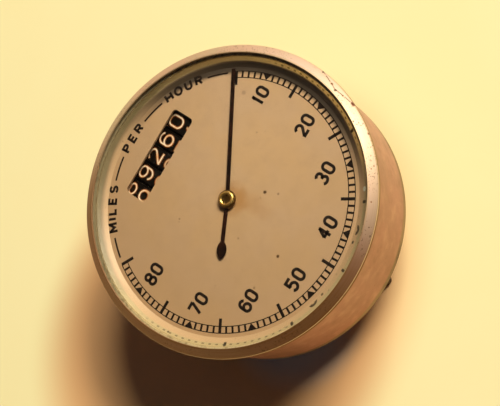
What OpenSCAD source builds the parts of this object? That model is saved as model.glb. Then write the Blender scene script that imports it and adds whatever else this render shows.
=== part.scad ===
// Round dashboard speedometer with a magnetic movement and a five-drum mileage counter.
// It lies face up on the ends of its fixing studs: +Z leaves the dial, +Y is 12 o'clock.

/* [Case] */
// Outside diameter of the case
case_d = 86.2; // [78:0.2:100]
// Wall thickness of the case
case_wall = 1.2; // [0.8:0.1:1.5]
// Length of the case from the back plate to the front flange
case_len = 29.8; // [27:0.2:40]
// Thickness of the case's front flange
flange_t = 0.5; // [0.4:0.1:1]
// How far the front flange stands out from the case
flange_w = 1.2; // [0.8:0.1:2]
// Thickness of the back plate
back_t = 2.6; // [1.2:0.1:3]
// Radius of the lugs that take the back plate screws
lug_r = 3; // [2.5:0.1:4]
// Length of those lugs
lug_len = 6; // [5:0.5:8]

/* [Fixings] */
// Diameter of the fixing studs
stud_d = 4; // [3:0.5:5]
// Free length of the studs behind the back plate
stud_len = 15; // [10:0.5:25]
// Distance of the studs in from the case's wall
stud_in = 4.6; // [4.6:0.1:8]
// Turn of the stud pattern from six o'clock, in degrees
stud_turn = 3; // [-15:1:15]
// Diameter of the collar on each stud inside the case
stud_collar_d = 8; // [6:0.5:9]
// Thickness of that collar
stud_collar_t = 1.5; // [1:0.1:2]
// Depth of the relief groove at the root of the studs and the cable boss
relief_depth = 0.4; // [0.2:0.1:0.5]
// Width of that groove behind the back plate
relief_w = 0.6; // [0.4:0.1:1.5]
// Head diameter of the back plate screws
back_screw_head_d = 4.4; // [4:0.1:5]
// Shank diameter of the back plate screws
back_screw_d = 2; // [1.6:0.1:2.5]
// Head diameter of the small screws inside
small_head_d = 3; // [2.4:0.1:3.2]
// Shank diameter of the small screws inside
small_screw_d = 1.6; // [1.2:0.1:1.8]
// Height of every screw head
screw_head_h = 1; // [0.8:0.1:1.2]

/* [Bezel and glass] */
// How far the bezel stands out from the case's flange
bezel_out = 0.7; // [0.5:0.1:1.5]
// Radial width of the bezel's face
bezel_face = 2.8; // [2.2:0.1:3.2]
// Height of the bezel's plain outer band above the case flange
bezel_band = 0.3; // [0.2:0.1:1]
// Depth of the edge rolled behind the case flange
bezel_roll = 0.5; // [0.4:0.1:0.8]
// Height of the bezel's top above the glass
bezel_crown = 0.65; // [0.5:0.05:1.2]
// Width of the flat on top of the bezel
bezel_flat = 0.5; // [0.4:0.1:1]
// How far the bezel's sloping face is bowed out
bezel_bow = 0.2; // [0:0.05:0.3]
// How far the bezel reaches in over the glass
glass_hold = 0.8; // [0.6:0.1:1]
// Thickness of the glass
glass_t = 1.3; // [1:0.1:2]
// Thickness of the seat ring under the glass
seat_t = 0.4; // [0.3:0.1:0.8]
// How far the seat ring shows inside the bezel
seat_show = 0.5; // [0.3:0.1:1.5]

/* [Dial] */
// Thickness of the dial
dial_t = 0.8; // [0.6:0.1:1]
// Height of the spacer ring between the dial and the seat ring
spacer_h = 2; // [1.8:0.1:3]
// Width of the spacer's foot on the dial
spacer_foot = 3; // [2:0.1:3.4]
// Width of the spacer's top under the seat ring
spacer_top = 0.4; // [0.3:0.1:1.9]
// Depth of the hollow in the spacer's slope
spacer_hollow = 0.12; // [0:0.02:0.2]
// Width of the counter window
window_w = 28.2; // [24:0.2:28.4]
// Height of the counter window
window_h = 7.5; // [5:0.1:8]
// Corner radius of the counter window
window_corner = 1.2; // [0.5:0.1:2]
// Sideways place of the window's middle
window_x = 0; // [-1:0.1:1]
// How far the window's middle lies below the counter's axle
window_drop = 0.6; // [0:0.1:1.5]

/* [Needle] */
// Angle of the needle at rest, clockwise from 12 o'clock
needle_rest = 59; // [45:1:90]
// Swing of the needle from its rest stop to its far stop
needle_swing = 240; // [180:5:260]
// Gap between the needle's tip and the spacer's foot
needle_tip_gap = 0.6; // [0.5:0.1:8]
// Width of the needle
needle_w = 1.1; // [0.6:0.1:1.5]
// Thickness of the needle
needle_t = 0.3; // [0.2:0.05:0.4]
// Gap between the dial and the needle
needle_gap = 0.6; // [0.5:0.05:0.7]
// Reach of the counterweight from the middle
tail_len = 17; // [10:0.1:20]
// Turn of the tail from the needle's line, in degrees
tail_bend = 4; // [-5:1:5]
// Length of the counterweight leaf
leaf_len = 5.3; // [4:0.1:7]
// Width of the counterweight leaf
leaf_w = 2.9; // [2:0.1:4]
// Diameter of the domed hub
hub_d = 5.4; // [4:0.1:6]
// Height of the hub's dome above the needle
hub_h = 1.15; // [0.7:0.05:1.2]
// Diameter of the needle arbor
arbor_d = 1.2; // [0.8:0.1:1.6]

/* [Speed movement] */
// Thickness of the front plate
plate_t = 1.2; // [0.8:0.1:1.5]
// Radius of the front plate
plate_r = 34; // [33:0.5:36]
// Gap between front plate and dial, bridged by the dial feet
dial_foot_len = 1.8; // [1.5:0.1:2]
// Diameter of the dial feet
dial_foot_d = 2.4; // [2:0.1:3]
// Diameter of the pillars
pillar_d = 4.4; // [4:0.1:5]
// Distance of the pillars from the middle
pillar_at = 29.5; // [29:0.1:30.5]
// Thickness of the hairspring ribbon
spring_t = 0.25; // [0.2:0.05:0.3]
// Height of the hairspring ribbon
spring_h = 0.6; // [0.4:0.1:0.7]
// Turns of the hairspring
spring_turns = 5; // [3:1:6]
// Outer radius of the hairspring
spring_r = 9; // [8:0.1:9.5]
// Diameter of the collet that holds the hairspring
collet_d = 4.8; // [4:0.1:5]
// Length of the stop arm
stop_len = 6.4; // [6:0.1:7]
// Width of the stop arm
stop_w = 1.2; // [1:0.1:1.6]
// Diameter of the stop pins
stop_pin_d = 1; // [0.8:0.1:1.2]
// Outside radius of the drag cup
drag_r = 11.5; // [10:0.1:11.8]
// Wall thickness of the drag cup
drag_t = 0.4; // [0.3:0.05:0.5]
// Depth of the drag cup
drag_depth = 5.2; // [4:0.1:5.4]
// Gap on each side of the drag cup's wall
air_gap = 0.8; // [0.5:0.05:1]
// Wall thickness of the field cup
field_t = 1; // [0.8:0.1:1.2]
// Thickness of the magnet
magnet_t = 3.2; // [2.5:0.1:3.4]

/* [Drive] */
// Outside diameter of the threaded boss for the drive cable
boss_d = 12; // [11:0.1:16]
// Length of the boss behind the back plate
boss_len = 11; // [6:0.5:12]
// Diameter of the boss's flange inside the case
boss_flange_d = 13; // [12.6:0.1:13.4]
// Thickness of the boss's flange
boss_flange_t = 1; // [0.8:0.1:1.1]
// Outside diameter of the spindle bush
bush_d = 7.2; // [6.6:0.1:8]
// Diameter of the drive spindle
spindle_d = 3.6; // [3.4:0.1:3.8]
// Side of the square socket in the spindle
socket_w = 2.2; // [1.8:0.1:2.3]
// Depth of the square socket
socket_depth = 9; // [6:0.5:10]
// How far the spindle's end lies inside the boss
socket_sink = 1; // [0.5:0.1:3]
// Module of the two worm pairs
worm_m = 0.5; // [0.48:0.01:0.55]
// Pitch radius of the worm on the spindle
spindle_worm_r = 2.7; // [2.6:0.05:3]
// Pitch radius of the worm that drives the counter
counter_worm_r = 1.8; // [1.7:0.05:1.9]
// Length of the worms
worm_len = 7.5; // [6:0.5:8]
// Teeth of the worm wheel on the cross shaft
cross_teeth = 20; // [20:1:21]
// Teeth of the worm wheel on the counter
counter_teeth = 24; // [24:1:25]
// Face width of the worm wheels
wheel_w = 2.4; // [1.6:0.1:2.6]
// Module of the spur pair
spur_m = 0.48; // [0.48:0.01:0.5]
// Teeth of the pinion on the cross shaft
pinion_teeth = 12; // [12:1:14]
// Teeth of the spur gear on the worm shaft
gear_teeth = 24; // [23:1:25]
// Face width of the spur pair
spur_w = 2; // [1.5:0.1:2.4]
// Distance of the spur pair from the middle
spur_y = 7; // [6:0.1:8]
// Diameter of the cross shaft and the worm shaft
shaft_d = 2; // [1.6:0.1:2.2]
// Thickness of the gear frame's sheet
frame_t = 0.8; // [0.6:0.1:1.2]

/* [Counter] */
// Radius of the number drums
drum_r = 10.5; // [9:0.1:10.8]
// Width of a number drum
drum_w = 5; // [4.6:0.1:5.2]
// Distance from drum to drum
drum_pitch = 5.85; // [5.8:0.05:6]
// Sideways place of the first drum's middle
drum_x = 11.2; // [10.6:0.1:11.2]
// Distance of the counter's axle in from the case's wall
counter_in = 14.6; // [14:0.1:15]
// Gap between the dial and the drums
drum_drop = 0.5; // [0.4:0.05:0.6]
// Thickness of a drum's web
drum_web = 1; // [0.8:0.1:1.2]
// Diameter of the counter's axle
axle_d = 2; // [1.6:0.1:2.2]
// Diameter of the bar that locks the pinion carriers
bar_d = 2; // [1.5:0.1:2.4]
// Gap between that bar and the drums
bar_gap = 1; // [0.8:0.1:1.4]
// Thickness of a pinion carrier
carrier_t = 0.35; // [0.3:0.05:0.4]
// Module of the transfer pinions
transfer_m = 0.7; // [0.68:0.01:0.71]

/* [Hidden] */
$fn = 64;
eps = 0.01;
// Radial clearances of a running fit and of pieces that only lie in one another
run_fit = 0.05;
loose_fit = 0.1;
// Least gap between pieces that pass each other
pass_gap = 0.3;

case_r = case_d / 2;
stud_neck_d = stud_d - 2 * relief_depth;
boss_neck_d = boss_d - 2 * relief_depth;
case_ri = case_r - case_wall;
flange_r = case_r + flange_w;
bezel_r = flange_r + bezel_out;
opening_r = bezel_r - bezel_face;
glass_r = opening_r + glass_hold;
seat_ri = opening_r - seat_show;
spacer_ri = case_ri - spacer_foot;
needle_len = spacer_ri - needle_tip_gap;
stud_at = case_ri - stud_in;
counter_y = case_ri - counter_in;
window_y = counter_y - window_drop;

// Heights, from the stud ends up
back_z = stud_len;
floor_z = back_z + back_t;
flange_z = floor_z + case_len;
seat_z = flange_z + flange_t;
glass_z = seat_z + seat_t;
glass_top_z = glass_z + glass_t;
dial_z = seat_z - spacer_h;
dial_low_z = dial_z - dial_t;
plate_z = dial_low_z - dial_foot_len - plate_t;
needle_z = dial_z + needle_gap;

// Gear sizes and places
worm_add = 0.9 * worm_m;
worm_ded = 1.15 * worm_m;
worm_pitch = PI * worm_m;
cross_r = cross_teeth * worm_m / 2;
counter_r = counter_teeth * worm_m / 2;
pinion_r = pinion_teeth * spur_m / 2;
gear_r = gear_teeth * spur_m / 2;
spur_add = 0.9 * spur_m;
spur_ded = 1.15 * spur_m;
cross_x = spindle_worm_r + cross_r;
worm_x = cross_x + pinion_r + gear_r;
counter_z = dial_low_z - drum_drop - drum_r;
shaft_z = counter_z - counter_worm_r - counter_r;
// Metal and room around shafts, wheels and bores
upright_w = 4.6;
upright_wall = 1;
shaft_proud = 1;
wheel_room = 4;
spur_room = 1;
bush_wall = 1.2;
bush_lip = 0.8;
bush_lip_h = 0.6;
screw_bite = 5;
screw_spare = 1;
pressure_angle = 20;
// Share of the tooth pitch that a wheel's tooth and a worm's thread fill
wheel_fill = 0.36;
thread_fill = 0.34;

// Speed movement, from the front plate down
stop_t = 0.4;
drag_hub_h = 0.7;
spindle_proud = 0.5;
stop_z = plate_z - pass_gap - stop_t;
collet_h = 1;
collet_z = stop_z - collet_h;
spring_z = collet_z + (collet_h - spring_h) / 2;
drag_top_z = collet_z - drag_hub_h;
drag_low_z = drag_top_z - drag_depth;
drag_ri = drag_r - drag_t;
field_ri = drag_r + air_gap;
field_r = field_ri + field_t;
field_floor = 0.8;
field_z = drag_low_z - pass_gap - field_floor;
field_top_z = drag_top_z - drag_t - pass_gap;
magnet_r = drag_ri - air_gap;
magnet_z = field_z + field_floor;
spindle_top_z = magnet_z + magnet_t + spindle_proud;
pivot_depth = 2.5;
spindle_low_z = back_z - boss_len + socket_sink;
spindle_r = spindle_d / 2;
hub_collar_d = 3;
hub_neck_d = 2.2;

// Counter, from the right
drum_count = 5;
drum_hub_wall = 0.8;
drum_hub_r = axle_d / 2 + drum_hub_wall;
drum_bore_r = axle_d / 2 + run_fit;
side_t = 1.2;
side_gap = 1.5;
side_eye_r = 4;
base_front = 5.3;
base_back = 7.2;
clip_t = 0.5;
clip_w = 1.2;
wheel_gap = 3.1;
wheel_x = worm_x;
left_side_x = drum_x - (drum_count - 1) * drum_pitch - drum_w / 2 - side_gap - side_t;
right_side_x = wheel_x + wheel_w / 2 + wheel_gap;
base_y0 = counter_y - base_front;
base_y1 = counter_y + base_back;
bar_tilt = 25;
bar_at = drum_r + bar_gap + bar_d / 2;
bar_y = counter_y - bar_at * cos(bar_tilt);
bar_z = counter_z - bar_at * sin(bar_tilt);
transfer_teeth = 6;
drum_teeth = 20;
transfer_add = 0.55;
transfer_ded = 0.75;
ring_add = 0.8;
ring_ded = 0.55;
ring_space_fill = 0.64;
transfer_r = transfer_teeth * transfer_m / 2;
ring_r = drum_teeth * transfer_m / 2;
transfer_at = ring_r - transfer_r;
transfer_journal_r = transfer_r - transfer_ded - run_fit;
cavity_r = ring_r + ring_add;
cavity_depth = (drum_w - drum_web) / 2;
carry_tooth = 0.45;
carry_w = 0.8;
carry_gap = 0.15;
carrier_wall = 0.9;
transfer_half_w = 1.6;

stud_angles = [stud_turn - 90, stud_turn + 30, stud_turn + 150];
lug_angles = [90, 210, 330];
lug_at = case_ri - lug_r + case_wall / 2;
pillar_angles = [14, 166, 228, 312];
foot_angles = [0, 180, 270];
foot_at = 24;
gear_screw_spots = [[cross_x + 4, -3.4], [worm_x + 2, 2.5]];
counter_screw_spots = [for (x = [left_side_x + 7, drum_x - 2]) [x, base_y0 + small_head_d]];
frame_base_x0 = boss_flange_d / 2 + pass_gap;
frame_base_x1 = worm_x + upright_w / 2 + frame_t;
front_upright_y = -wheel_w / 2 - wheel_room - frame_t;
rear_upright_y = spur_y + spur_w / 2 + spur_room;
far_upright_y = base_y1 - frame_t;

// Shapes that several pieces share

module ring(outer, inner, h) {
    difference() {
        cylinder(r = outer, h = h);
        translate([0, 0, -eps]) cylinder(r = inner, h = h + 2 * eps);
    }
}

module at_polar(angles, distance) {
    for (a = angles) rotate(a) translate([distance, 0, 0]) children();
}

module at_spots(spots) {
    for (s = spots) translate([s[0], s[1], 0]) children();
}

// A child made along +Z is laid along +Y or +X
module along_y() { rotate([-90, 0, 0]) children(); }
module along_x() { rotate([0, 90, 0]) children(); }

// A screw with its head's seat at z = 0 and its shank below
module screw(head_d, shank_d, shank_len) {
    slot_w = head_d / 6;
    cylinder(d = shank_d, h = shank_len + screw_head_h / 2);
    translate([0, 0, shank_len]) difference() {
        cylinder(d = head_d, h = screw_head_h);
        translate([-head_d, -slot_w / 2, screw_head_h / 2]) cube([2 * head_d, slot_w, screw_head_h]);
    }
}

// Involute tooth flanks
function involute(a) = tan(a) * 180 / PI - a;
function flank_angle(n, m, radius, fill) =
    let(base = n * m / 2 * cos(pressure_angle), a = radius > base ? acos(base / radius) : 0)
    fill * 180 / n + involute(pressure_angle) - involute(a);
function flank_radii(n, m, add, ded) =
    let(pitch_r = n * m / 2, root = pitch_r - ded, base = max(root, pitch_r * cos(pressure_angle)))
    [root, base + eps, (base + pitch_r + add) / 2, pitch_r + add];
function gear_points(n, m, add, ded, fill) =
    let(radii = flank_radii(n, m, add, ded))
    [for (i = [0:n - 1]) for (side = [-1, 1]) for (k = side < 0 ? [0:3] : [3:-1:0])
        let(a = 360 * i / n + side * flank_angle(n, m, radii[k], fill))
        radii[k] * [cos(a), sin(a)]];

module gear_blank(n, m, add, ded, fill, w) {
    linear_extrude(w) polygon(gear_points(n, m, add, ded, fill));
}

module gear(n, m, add, ded, fill, w, bore_r) {
    translate([0, 0, -w / 2]) difference() {
        gear_blank(n, m, add, ded, fill, w);
        translate([0, 0, -eps]) cylinder(r = bore_r, h = w + 2 * eps);
    }
}

// Radius of the thread's surface at a share of the pitch from the crest
function thread_r(share, pitch_r) =
    let(off = abs(share) * worm_pitch, half = thread_fill * worm_pitch / 2)
    max(pitch_r - worm_ded, min(pitch_r + worm_add, pitch_r + (half - off) / tan(pressure_angle)));
function wrapped(share) = share - round(share);

// A right-handed single-start worm along Z with a crest at z = 0 on the +X side
module worm(pitch_r, bore_r) {
    sides = 16;
    levels = round(worm_len / worm_pitch * sides / 2) * 2;
    z0 = -levels / 2 * worm_pitch / sides;
    inner_r = bore_r / cos(180 / sides);
    outer = [for (j = [0:levels]) for (i = [0:sides - 1])
        let(r = thread_r(wrapped((j - levels / 2 - i) / sides), pitch_r), a = 360 * i / sides)
        [r * cos(a), r * sin(a), z0 + j * worm_pitch / sides]];
    inner = [for (j = [0, levels]) for (i = [0:sides - 1])
        let(a = 360 * i / sides)
        [inner_r * cos(a), inner_r * sin(a), z0 + j * worm_pitch / sides]];
    n_out = len(outer);
    top = levels * sides;
    faces = concat(
        [for (j = [0:levels - 1]) for (i = [0:sides - 1])
            let(a = j * sides + i, b = j * sides + (i + 1) % sides, c = b + sides)
            [a, c, b]],
        [for (j = [0:levels - 1]) for (i = [0:sides - 1])
            let(a = j * sides + i, d = a + sides, c = (j + 1) * sides + (i + 1) % sides)
            [a, d, c]],
        [for (i = [0:sides - 1]) let(k = (i + 1) % sides)
            [n_out + i, n_out + k, n_out + sides + k]],
        [for (i = [0:sides - 1]) let(k = (i + 1) % sides)
            [n_out + i, n_out + sides + k, n_out + sides + i]],
        [for (i = [0:sides - 1]) let(k = (i + 1) % sides) [i, k, n_out + k]],
        [for (i = [0:sides - 1]) let(k = (i + 1) % sides) [i, n_out + k, n_out + i]],
        [for (i = [0:sides - 1]) let(k = (i + 1) % sides) [top + i, n_out + sides + k, top + k]],
        [for (i = [0:sides - 1]) let(k = (i + 1) % sides) [top + i, n_out + sides + i, n_out + sides + k]]);
    polyhedron(concat(outer, inner), faces);
}

// Case and fixings

module case_shell() {
    color("#a98b72") difference() {
        union() {
            translate([0, 0, floor_z]) ring(case_r, case_ri, case_len);
            translate([0, 0, flange_z]) ring(flange_r, case_ri, flange_t);
            intersection() {
                translate([0, 0, floor_z]) at_polar(lug_angles, lug_at) cylinder(r = lug_r, h = lug_len);
                cylinder(r = case_r - case_wall / 2, h = flange_z);
            }
        }
        translate([0, 0, floor_z - eps]) at_polar(lug_angles, lug_at)
            cylinder(d = back_screw_d + 2 * run_fit, h = lug_len - screw_spare / 2);
    }
}

module back_plate() {
    color("#8f7b5c") translate([0, 0, back_z]) difference() {
        cylinder(r = case_r - loose_fit, h = back_t);
        translate([0, 0, -eps]) {
            cylinder(d = boss_neck_d, h = back_t + 2 * eps);
            at_polar(lug_angles, lug_at) cylinder(d = back_screw_d + 2 * loose_fit, h = back_t + 2 * eps);
            at_polar(stud_angles, stud_at) cylinder(d = stud_neck_d, h = back_t + 2 * eps);
        }
        translate([0, 0, back_t / 2]) {
            at_spots(gear_screw_spots) cylinder(d = small_screw_d + 2 * run_fit, h = back_t);
            at_spots(counter_screw_spots) cylinder(d = small_screw_d + 2 * run_fit, h = back_t);
        }
    }
}

module back_screws() {
    shank = back_t + lug_len - screw_spare;
    color("#7c7466") at_polar(lug_angles, lug_at) translate([0, 0, back_z + shank]) mirror([0, 0, 1])
        screw(back_screw_head_d, back_screw_d, shank);
}

module rear_studs() {
    color("#7c7466") at_polar(stud_angles, stud_at) {
        cylinder(d = stud_d, h = stud_len - relief_w);
        cylinder(d = stud_neck_d, h = floor_z + stud_collar_t);
        translate([0, 0, floor_z]) cylinder(d = stud_collar_d, h = stud_collar_t);
    }
}

module drive_boss() {
    color("#b08d4f") translate([0, 0, back_z - boss_len]) difference() {
        union() {
            cylinder(d = boss_d, h = boss_len - relief_w);
            cylinder(d = boss_neck_d, h = boss_len + back_t);
            translate([0, 0, boss_len + back_t]) cylinder(d = boss_flange_d, h = boss_flange_t);
        }
        translate([0, 0, -eps]) cylinder(d = bush_d, h = boss_len + back_t + boss_flange_t + 2 * eps);
    }
}

// Bezel, glass and dial

module bezel() {
    top_z = glass_top_z + bezel_crown;
    rim = [bezel_r, seat_z + bezel_band];
    run = [opening_r + bezel_flat, top_z] - rim;
    aside = [run[1], -run[0]] / norm(run) * bezel_bow;
    face = [for (t = [0:0.125:1]) rim + t * run + 4 * t * (1 - t) * aside];
    round_over = min(bezel_flat, bezel_crown) / 2;
    lip = [for (a = [90:15:180])
        [opening_r + round_over + round_over * cos(a), top_z - round_over + round_over * sin(a)]];
    color("#c9b8a6") rotate_extrude($fn = 160) polygon(concat(
        [[bezel_r, flange_z - bezel_roll]], face, lip,
        [[opening_r, glass_top_z], [glass_r + loose_fit, glass_top_z], [glass_r + loose_fit, seat_z],
        [flange_r + loose_fit, seat_z], [flange_r + loose_fit, flange_z],
        [case_r + loose_fit, flange_z], [case_r + loose_fit, flange_z - bezel_roll]]));
}

module glass_lens() {
    color("#cfd6cc", 0.35) translate([0, 0, glass_z]) cylinder(r = glass_r, h = glass_t);
}

module glass_seat() {
    color("#b9a684") translate([0, 0, seat_z]) ring(glass_r, seat_ri, seat_t);
}

module spacer_ring() {
    outer = case_ri - loose_fit;
    foot = [spacer_ri, dial_z];
    run = [case_ri - spacer_top, seat_z] - foot;
    aside = [run[1], -run[0]] / norm(run) * spacer_hollow;
    slope = [for (t = [1:-0.125:0]) foot + t * run + 4 * t * (1 - t) * aside];
    color("#d8c29a") rotate_extrude($fn = 160) polygon(concat([[outer, dial_z], [outer, seat_z]], slope));
}

module dial_plate() {
    color("#cfae7d") translate([0, 0, dial_low_z]) difference() {
        cylinder(r = case_ri - loose_fit, h = dial_t);
        translate([0, 0, -eps]) cylinder(d = hub_collar_d + 2 * pass_gap, h = dial_t + 2 * eps);
        translate([window_x, window_y, -eps]) linear_extrude(dial_t + 2 * eps) union() {
            square([window_w - 2 * window_corner, window_h], center = true);
            square([window_w, window_h - 2 * window_corner], center = true);
            for (sx = [-1, 1]) for (sy = [-1, 1])
                translate([sx * (window_w / 2 - window_corner), sy * (window_h / 2 - window_corner)])
                    circle(r = window_corner);
        }
    }
}

module dial_feet() {
    color("#b08d4f") translate([0, 0, plate_z + plate_t]) at_polar(foot_angles, foot_at)
        cylinder(d = dial_foot_d, h = dial_foot_len);
}

// Needle and the speed movement that turns it

module needle() {
    bend = (leaf_len * leaf_len + leaf_w * leaf_w) / (4 * leaf_w);
    color("#2b2018") translate([0, 0, needle_z]) rotate(-needle_rest) difference() {
        linear_extrude(needle_t) union() {
            translate([-needle_w / 2, 0]) square([needle_w, needle_len]);
            circle(d = hub_collar_d);
            rotate(-tail_bend) translate([0, -tail_len + leaf_len / 2]) {
                translate([-needle_w / 2, 0]) square([needle_w, tail_len - leaf_len / 2]);
                intersection() {
                    translate([bend - leaf_w / 2, 0]) circle(r = bend);
                    translate([leaf_w / 2 - bend, 0]) circle(r = bend);
                }
            }
        }
        translate([0, 0, -eps]) cylinder(d = hub_neck_d, h = needle_t + 2 * eps);
    }
}

module needle_hub() {
    dome = [for (a = [0:10:90]) [hub_d / 2 * cos(a), needle_z + needle_t + hub_h * sin(a)]];
    bore_top = needle_z + needle_t + hub_h / 2;
    low_z = needle_z - needle_gap / 2;
    color("#c49a45") rotate_extrude() polygon(concat(
        [[arbor_d / 2, low_z], [hub_collar_d / 2, low_z], [hub_collar_d / 2, needle_z],
        [hub_neck_d / 2, needle_z], [hub_neck_d / 2, needle_z + needle_t]],
        dome, [[0, bore_top], [arbor_d / 2, bore_top]]));
}

module needle_arbor() {
    low_z = spindle_top_z - pivot_depth;
    color("#9a9388") translate([0, 0, low_z])
        cylinder(d = arbor_d, h = needle_z + needle_t + hub_h / 2 - low_z);
}

module arbor_bush() {
    color("#c49a45") translate([0, 0, plate_z]) {
        ring(arbor_d / 2 + bush_wall, arbor_d / 2 + run_fit, plate_t);
        translate([0, 0, plate_t]) ring(arbor_d / 2 + bush_wall + bush_lip, arbor_d / 2 + run_fit, bush_lip_h);
    }
}

module front_plate() {
    color("#b99a55") translate([0, 0, plate_z]) difference() {
        cylinder(r = plate_r, h = plate_t);
        translate([0, 0, -eps]) {
            cylinder(r = arbor_d / 2 + bush_wall, h = plate_t + 2 * eps);
            at_polar(pillar_angles, pillar_at) cylinder(d = small_screw_d + 2 * loose_fit, h = plate_t + 2 * eps);
            translate([-plate_r, counter_y - bar_at, 0]) cube([2 * plate_r, plate_r, plate_t + 2 * eps]);
        }
    }
}

module pillars() {
    pillar_len = plate_z - floor_z;
    thread_len = screw_bite + screw_spare;
    color("#b99a55") translate([0, 0, floor_z]) at_polar(pillar_angles, pillar_at) difference() {
        cylinder(d = pillar_d, h = pillar_len);
        translate([0, 0, pillar_len - thread_len])
            cylinder(d = small_screw_d + 2 * run_fit, h = thread_len + eps);
    }
}

module pillar_screws() {
    shank = plate_t + screw_bite;
    color("#7c7466") translate([0, 0, plate_z + plate_t - shank]) at_polar(pillar_angles, pillar_at)
        screw(small_head_d, small_screw_d, shank);
}

module hairspring() {
    per_turn = 24;
    steps = spring_turns * per_turn;
    start_r = collet_d / 2 + pass_gap + spring_t;
    function spiral(side) = [for (i = [0:steps])
        let(r = start_r + (spring_r - spring_t / 2 - start_r) * i / steps + side * spring_t / 2)
        r * [cos(360 / per_turn * i), sin(360 / per_turn * i)]];
    outer = spiral(1);
    inner = spiral(-1);
    color("#5b6470") translate([0, 0, spring_z]) linear_extrude(spring_h)
        polygon(concat(outer, [for (i = [steps:-1:0]) inner[i]]));
}

module hairspring_collet() {
    color("#c49a45") translate([0, 0, collet_z]) ring(collet_d / 2, arbor_d / 2, collet_h);
}

module hairspring_stud() {
    stud_r = 0.8;
    color("#c49a45") translate([spring_r + stud_r + run_fit, 0, spring_z])
        cylinder(r = stud_r, h = plate_z - spring_z);
}

module stop_arm() {
    color("#9a9388") translate([0, 0, stop_z]) rotate(-needle_rest) difference() {
        union() {
            cylinder(d = collet_d, h = stop_t);
            translate([-stop_w / 2, 0, 0]) cube([stop_w, stop_len, stop_t]);
        }
        translate([0, 0, -eps]) cylinder(d = arbor_d, h = stop_t + 2 * eps);
    }
}

module stop_pins() {
    pin_at = stop_len - stop_pin_d / 2;
    side = asin((stop_w / 2 + stop_pin_d / 2 + loose_fit) / pin_at);
    color("#9a9388") translate([0, 0, stop_z - loose_fit])
        for (a = [-needle_rest + side, -needle_rest - needle_swing - side])
            rotate(a) translate([0, pin_at, 0]) cylinder(d = stop_pin_d, h = plate_z - stop_z + loose_fit);
}

module drag_cup() {
    color("#b8b8b4") translate([0, 0, drag_low_z]) difference() {
        cylinder(r = drag_r, h = drag_depth);
        translate([0, 0, -eps]) cylinder(r = drag_ri, h = drag_depth - drag_t + eps);
        cylinder(d = arbor_d, h = drag_depth + eps);
    }
    color("#b8b8b4") translate([0, 0, drag_top_z]) ring(collet_d / 2, arbor_d / 2, collet_z - drag_top_z);
}

module magnet() {
    color("#6d6a66") translate([0, 0, magnet_z]) ring(magnet_r, spindle_r, magnet_t);
}

module field_cup() {
    color("#8a8882") translate([0, 0, field_z]) difference() {
        cylinder(r = field_r, h = field_top_z - field_z);
        translate([0, 0, field_floor]) cylinder(r = field_ri, h = field_top_z - field_z);
        translate([0, 0, -eps]) cylinder(r = spindle_r, h = field_floor + 2 * eps);
    }
}

// Drive from the cable to the counter

module drive_spindle() {
    color("#9a9388") difference() {
        translate([0, 0, spindle_low_z]) cylinder(r = spindle_r, h = spindle_top_z - spindle_low_z);
        translate([-socket_w / 2, -socket_w / 2, spindle_low_z - eps]) cube([socket_w, socket_w, socket_depth]);
        translate([0, 0, spindle_top_z - pivot_depth - loose_fit])
            cylinder(d = arbor_d + 2 * run_fit, h = pivot_depth + 2 * loose_fit);
    }
}

module spindle_bush() {
    bush_z = back_z - boss_len + socket_sink;
    color("#c49a45") translate([0, 0, bush_z])
        ring(bush_d / 2, spindle_r + run_fit, floor_z + boss_flange_t - bush_z);
}

module spindle_worm() {
    color("#9a9388") translate([0, 0, shaft_z]) worm(spindle_worm_r, spindle_r + eps);
}

module cross_shaft() {
    color("#9a9388") translate([cross_x, front_upright_y - shaft_proud, shaft_z]) along_y()
        cylinder(d = shaft_d, h = rear_upright_y + frame_t + 2 * shaft_proud - front_upright_y);
}

module cross_wheel() {
    color("#c49a45") translate([cross_x, 0, shaft_z]) along_y() rotate(180 / cross_teeth)
        rotate(cross_teeth % 2 == 0 ? 0 : 180 / cross_teeth)
            gear(cross_teeth, worm_m, worm_add, worm_ded, wheel_fill, wheel_w, shaft_d / 2);
}

module cross_pinion() {
    color("#c49a45") translate([cross_x, spur_y, shaft_z]) along_y()
        gear(pinion_teeth, spur_m, spur_add, spur_ded, wheel_fill, spur_w, shaft_d / 2);
}

module worm_shaft() {
    color("#9a9388") translate([worm_x, spur_y - spur_w / 2 - shaft_proud, shaft_z]) along_y()
        cylinder(d = shaft_d, h = far_upright_y + frame_t + 2 * shaft_proud - spur_y + spur_w / 2);
}

module worm_shaft_gear() {
    color("#c49a45") translate([worm_x, spur_y, shaft_z]) along_y() rotate(180 / gear_teeth)
        rotate(gear_teeth % 2 == 0 ? 0 : 180 / gear_teeth)
            gear(gear_teeth, spur_m, spur_add, spur_ded, wheel_fill, spur_w, shaft_d / 2);
}

// Left-handed, so that the figures climb when the spindle drags the needle up the scale
module counter_worm() {
    color("#9a9388") translate([worm_x, counter_y, shaft_z]) along_y() rotate(-90)
        mirror([0, 0, 1]) worm(counter_worm_r, shaft_d / 2 + eps);
}

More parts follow.
